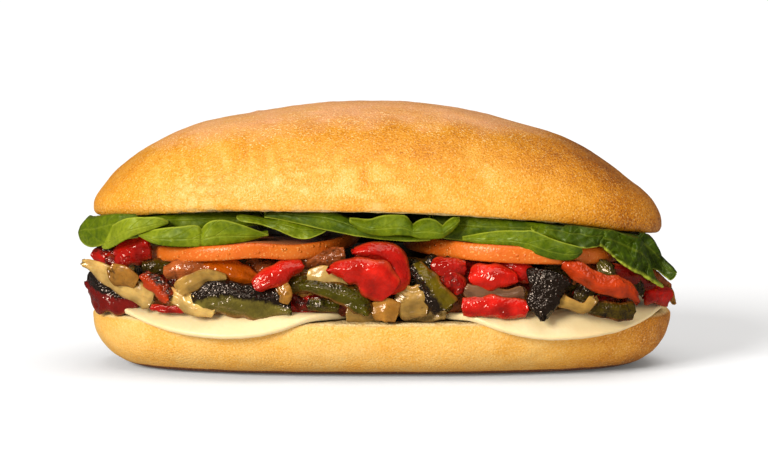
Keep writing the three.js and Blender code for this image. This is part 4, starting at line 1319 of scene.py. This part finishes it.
# kinds, seed, strips, length, first level, start and sweep in half turns
Ring = namedtuple("Ring", "kinds seed count length spare start sweep")
RINGS = [
    Ring(BACK_KINDS, 7, 16, 20.0, 0, -0.07, 1.14),
    Ring(BACK_KINDS, 23, 16, 20.0, 1, -0.07, 1.14),
    Ring(GAP_KINDS, 41, 14, 17.0, 0, 1.06, 0.88),
    Ring(GAP_KINDS, 57, 14, 17.0, 1, 1.06, 0.88),
]
RING_STEPS = (-1, -0.35, 0.35, 1)
RING_CRINKLE = {"pepper": 0.7, "onion": 0.2}
RING_THICK = 4.4
RING_CURL = 0.8
DRAW_FACTOR = 16807
DRAW_RANGE = 2147483647


def number_drawer(seed):
    """Draws numbers between 0 and 1 that are the same in every run."""
    state = seed

    def draw():
        nonlocal state
        state = (state * DRAW_FACTOR) % DRAW_RANGE
        return state / DRAW_RANGE

    return draw


def ring_strips(ring):
    draw = number_drawer(ring.seed)
    made = []
    for number in range(ring.count):
        angle = (ring.start + ring.sweep * (number + 0.5) / ring.count) * math.pi
        level = RING_LEVELS[(number + ring.spare) % len(RING_LEVELS)]
        half = ring.length / 2 * (0.8 + 0.4 * draw())
        lean = 2.4 * (draw() - 0.5)
        kind, tint, charred = ring.kinds[(number + 3 * ring.spare) % len(ring.kinds)]
        wide = 5 + 1.6 * draw()
        x, y = oval(angle, RING_HALF_LENGTH, RING_HALF_WIDTH, HEAP_SQUARENESS)
        speed = math.hypot(x / RING_HALF_LENGTH * RING_HALF_WIDTH, y / RING_HALF_WIDTH * RING_HALF_LENGTH)
        stations = []
        for step in RING_STEPS:
            near = angle - step * half / max(speed, 30)
            sx, sy = oval(near, RING_HALF_LENGTH, RING_HALF_WIDTH, HEAP_SQUARENESS)
            stations.append((sx, sy, level - step * lean, wide))
        made.append(Strip(kind, tint, charred, 0, RING_CRINKLE[kind], RING_THICK, RING_CURL, stations))
        # One draw is spent unused. Without it every later strip would come out different.
        draw()
    return made


print("strips by the rule:", sum(ring.count for ring in RINGS))

# %% [markdown]
# A strip of roasted pepper is a thin folded sheet with crisp cut rims. So each strip is
# a grid laid along its stations and bowed back at its rims, and a Solidify modifier
# gives it a wall. The grid is kept as a mesh and copied into the joined piece, because
# a new one is slow to make inside a mesh that is already large.

# %% Laying a sheet along a strip
STRIP_GRID = (34, 14)
sheet_bm = bmesh.new()
bmesh.ops.create_grid(sheet_bm, x_segments=STRIP_GRID[0], y_segments=STRIP_GRID[1], size=1)
SHEET = bpy.data.meshes.new("sheet")
sheet_bm.to_mesh(SHEET)
sheet_bm.free()
FULLNESS = {"pepper": 1.15, "onion": 1.45}
WALLS = {"pepper": 1.4, "onion": 1.0}
END_BLUNTNESS = {"pepper": 12.0, "onion": 7.0}
BOWS = {"pepper": 0.26, "onion": 0.08}
SHADES = {"pepper": 0.85, "onion": 0.98}
STRIP_STEP = 0.02
FRONT_FLAT_TO = 60
RIM_FROM = (0.7, 1.0)
BURN_ACROSS = (-0.3, 0.5)


def strip_frame(stations, share):
    """Middle, width and the two cross directions of a strip at a share of its length."""
    x, y, z, wide = along_curve(stations, share)
    ahead = along_curve(stations, min(1.0, share + STRIP_STEP))
    behind = along_curve(stations, max(0.0, share - STRIP_STEP))
    run = (Vector(ahead[:3]) - Vector(behind[:3])).normalized()
    out_x = 0.0 if y < 0 and abs(x) < FRONT_FLAT_TO else keep_sign(x / RING_HALF_LENGTH, 5)
    outward = Vector((out_x, y / RING_HALF_WIDTH, 0))
    outward = (outward - run * run.dot(outward)).normalized()
    return Vector((x, y, z)), wide, outward.cross(run), outward


def creased(along, across, seed):
    """Sharp little ridges between soft hollows, as in skin that has shrunk."""
    large = abs(noise.noise(Vector((along / 6, across / 2.4, seed))))
    small = abs(noise.noise(Vector((along / 2.4, across / 1.2, seed + 40))))
    return 0.35 - 1.5 * large - 0.7 * small


def add_strip(bm, strip, seed):
    known = len(bm.verts)
    bm.from_mesh(SHEET)
    bm.verts.ensure_lookup_table()
    tint = bm.verts.layers.float_color["tint"]
    charred = bm.verts.layers.float["charred"]
    crinkle = bm.verts.layers.float["crinkle"]
    length = (Vector(strip.stations[0][:3]) - Vector(strip.stations[-1][:3])).length
    blunt = END_BLUNTNESS[strip.kind]
    tone = 0.8 + 0.5 * abs(noise.noise(Vector((seed * 1.37, 0, 0))))
    colour = Vector(TINTS[strip.tint]) * tone
    rim = colour.lerp(Vector(RIM[strip.kind]), 0.4)
    weave = bm.verts.layers.float_vector["weave"]
    for vert in bm.verts[known:]:
        share = (vert.co.x + 1) / 2
        side = vert.co.y
        full = max(0.0, 1 - abs(vert.co.x) ** blunt) ** (1 / blunt)
        middle, wide, across, outward = strip_frame(strip.stations, share)
        along = share * length
        nick = 1 + 0.38 * noise.noise(Vector((along / 3.4, math.copysign(4, side), seed * 1.9)))
        ridge = 0.5 * math.sin(seed * 2.4 + 2.2 * share)
        fold = 1 - abs(side - ridge) / (1 + abs(ridge))
        bow = BOWS[strip.kind] * strip.thick * (0.5 - side * side) + strip.curl * fold
        bow += (0.25 + 0.8 * strip.crinkle) * creased(along, side * wide / 2, seed * 3.1)
        bow += 0.5 * noise.noise(Vector((along / 7, side * 1.5, seed * 5.3)))
        vert.co = middle + across * side * full * nick * wide * FULLNESS[strip.kind] / 2 + outward * bow
        mottle = noise.noise(Vector((along / 3, side * wide / 5, seed * 7.1)))
        # Painted shade: lighter on the upper side of the strip and darker on the lower, with a random mottle
        # on top; SHADES scales the colour for each kind.
        shade = SHADES[strip.kind] + 0.2 * side + 0.3 * mottle
        vert[tint] = (*colour.lerp(rim, ease(*RIM_FROM, abs(side))) * shade, 1)
        zone = ease(*BURN_ACROSS, side * strip.burnt_side) if strip.burnt_side else 1.0
        vert[charred] = strip.charred * zone
        vert[weave] = Vector((along / 7, side * wide / 1.6, seed * 3.7))
        vert[crinkle] = strip.crinkle * (0.4 + 0.6 * zone)


def strip_piece(name, kind, strips, material):
    bm = bmesh.new()
    bm.verts.layers.float_color.new("tint")
    new_values(bm, "charred", "crinkle")
    bm.verts.layers.float_vector.new("weave")
    for number, strip in enumerate(strips):
        if strip.kind == kind:
            add_strip(bm, strip, number + 1)
    piece = finish_piece(name, bm, ["roasted_vegetables"], material)
    wall = piece.modifiers.new("wall", "SOLIDIFY")
    wall.thickness = WALLS[kind] * MM
    wall.offset = -1


strips = FRONT_STRIPS + [strip for ring in RINGS for strip in ring_strips(ring)]
strip_piece("pepper_strips", "pepper", strips, PEPPER)
strip_piece("onion_strips", "onion", strips, ONION)

# %% [markdown]
# Behind the strips lies the rest of the heap, wet, and coloured nearly black as painted
# shade. Strips all the way through would be many meshes that nobody sees. One lumpy ball,
# flattened and filled out towards the oval of the heap, is enough for the shadow between
# the strips.

# %% Core of the heap
HEAP_HALF_LENGTH = 66.0
HEAP_HALF_WIDTH = 31.0
HEAP_FLOOR = 18.4
HEAP_TOP = 30.4
CORE_GRID = (200, 60)
CORE_SQUARENESS = 0.35
CORE_FLATNESS = 0.6
CORE_CHARRED = 0.2
CORE_CRINKLE = 0.8


def heap_core():
    bm = new_ball(CORE_GRID)
    bm.verts.layers.float_color.new("tint")
    charred, crinkle = new_values(bm, "charred", "crinkle")
    tint = bm.verts.layers.float_color["tint"]
    middle = (HEAP_FLOOR + HEAP_TOP) / 2
    half = (HEAP_TOP - HEAP_FLOOR) / 2
    for vert in bm.verts:
        angle = math.atan2(vert.co.y, vert.co.x)
        reach = math.hypot(vert.co.x, vert.co.y) ** CORE_SQUARENESS
        side_x, side_y = oval(angle, HEAP_HALF_LENGTH, HEAP_HALF_WIDTH, HEAP_SQUARENESS)
        place = Vector((reach * side_x, reach * side_y, middle + half * keep_sign(vert.co.z, CORE_FLATNESS)))
        lump = lumps(place, 5)
        place.x *= 1 + 0.012 * lump
        place.y *= 1 + 0.03 * lump
        place.z -= 0.5 * abs(lump)
        vert.co = place
        vert[tint] = (*TINTS["core"], 1)
        vert[charred] = CORE_CHARRED
        vert[crinkle] = CORE_CRINKLE
    finish_piece("vegetable_core", bm, ["roasted_vegetables"], CORE)


heap_core()

# %% [markdown]
# The sandwich stands on a plain white floor. A real white table would take on the
# shadow and the orange of the crust. A light path tells which rays look at the floor, so
# the camera sees it white with only a thin shadow where the roll touches it, the food
# gets a soft light back from it, and wet skins hardly mirror it.

# %% Floor
FLOOR_WHITE = (0.96, 0.96, 0.96)
FLOOR_GLOW = 0.06
FLOOR_BOUNCE = (0.92, 0.9, 0.88)
FLOOR_IN_GLOSS = (0.11, 0.1, 0.09)
FLOOR_ROUGHNESS = 0.8
FLOOR_REACH = 8


def add_floor():
    bm = bmesh.new()
    bmesh.ops.create_grid(bm, x_segments=1, y_segments=1, size=FLOOR_REACH)
    mesh = bpy.data.meshes.new("floor")
    bm.to_mesh(mesh)
    bm.free()
    floor = bpy.data.objects.new("floor", mesh)
    bpy.context.scene.collection.objects.link(floor)
    material, tree, shader, _ = new_finish("floor", FLOOR_ROUGHNESS)
    path = tree.nodes.new("ShaderNodeLightPath")
    base = mix(tree, path.outputs["Is Glossy Ray"], FLOOR_BOUNCE, FLOOR_IN_GLOSS)
    tree.links.new(mix(tree, path.outputs["Is Camera Ray"], base, FLOOR_WHITE), shader.inputs["Base Color"])
    shader.inputs["Specular IOR Level"].default_value = 0.0
    shader.inputs["Emission Color"].default_value = (1, 1, 1, 1)
    shader.inputs["Emission Strength"].default_value = FLOOR_GLOW
    floor.data.materials.append(material)
    print("floor reaches", FLOOR_REACH, "m each way")


add_floor()

# %% [markdown]
# Soft studio light is a large lamp and white walls. Area lamps would do, but they light
# near parts more than far ones. So there are two suns with wide, soft discs. The key
# from the front left models the dome and leaves the right end darker. The other one
# comes from above. The world is white for the camera, a warm fill for the food and
# nearly dark for wet skins, whose glints then stay small.

# %% Lights and world
# name, the way its light goes, strength, width of its disc in degrees
SUNS = [
    ("key", (0.55, 0.76, -0.38), 3.0, 22),
    ("overhead", (-0.1, 0.25, -1), 1.1, 50),
]
WORLD_WHITE = (1.0, 1.0, 1.0)
WORLD_WARM = (1.0, 0.975, 0.95)
WORLD_SEEN = 1.0
WORLD_FILL = 0.38
WORLD_IN_GLOSS = 0.08


def add_sun(name, towards, strength, spread):
    light = bpy.data.lights.new(name, "SUN")
    light.energy = strength
    light.angle = math.radians(spread)
    lamp = bpy.data.objects.new(name, light)
    bpy.context.scene.collection.objects.link(lamp)
    lamp.rotation_euler = Vector(towards).to_track_quat("-Z", "Y").to_euler()


def add_world():
    world = bpy.data.worlds.new("studio")
    bpy.context.scene.world = world
    world.use_nodes = True
    tree = world.node_tree
    path = tree.nodes.new("ShaderNodeLightPath")
    gloss = times(tree, path.outputs["Is Glossy Ray"], WORLD_IN_GLOSS - WORLD_FILL)
    seen = times(tree, path.outputs["Is Camera Ray"], WORLD_SEEN - WORLD_FILL)
    strength = plus(tree, plus(tree, gloss, seen), WORLD_FILL)
    tree.links.new(strength, tree.nodes["Background"].inputs["Strength"])
    tint = mix(tree, path.outputs["Is Camera Ray"], WORLD_WARM, WORLD_WHITE)
    tree.links.new(tint, tree.nodes["Background"].inputs["Color"])


for sun_values in SUNS:
    add_sun(*sun_values)
add_world()
print("suns:", [sun_values[0] for sun_values in SUNS])

# %% [markdown]
# The camera stands a little above the table, straight in front, and far enough away
# that the long roll keeps its proportions. Its lens follows from the width it frames.

# %% Camera
CAMERA_DISTANCE = 900.0
CAMERA_ELEVATION = math.radians(6)
CAMERA_TARGET = Vector((1.87, 0, 33.7))
VIEW_WIDTH = 205.5
SENSOR = 36.0


def add_camera():
    data = bpy.data.cameras.new("camera")
    data.sensor_width = SENSOR
    data.lens = SENSOR * CAMERA_DISTANCE / VIEW_WIDTH
    camera = bpy.data.objects.new("camera", data)
    bpy.context.scene.collection.objects.link(camera)
    back = Vector((0, -math.cos(CAMERA_ELEVATION), math.sin(CAMERA_ELEVATION)))
    camera.location = (CAMERA_TARGET + back * CAMERA_DISTANCE) * MM
    camera.rotation_euler = (-back).to_track_quat("-Z", "Y").to_euler()
    bpy.context.scene.camera = camera


add_camera()
bpy.context.scene.view_settings.view_transform = "Standard"
print("camera lens:", round(bpy.context.scene.camera.data.lens, 1), "mm")
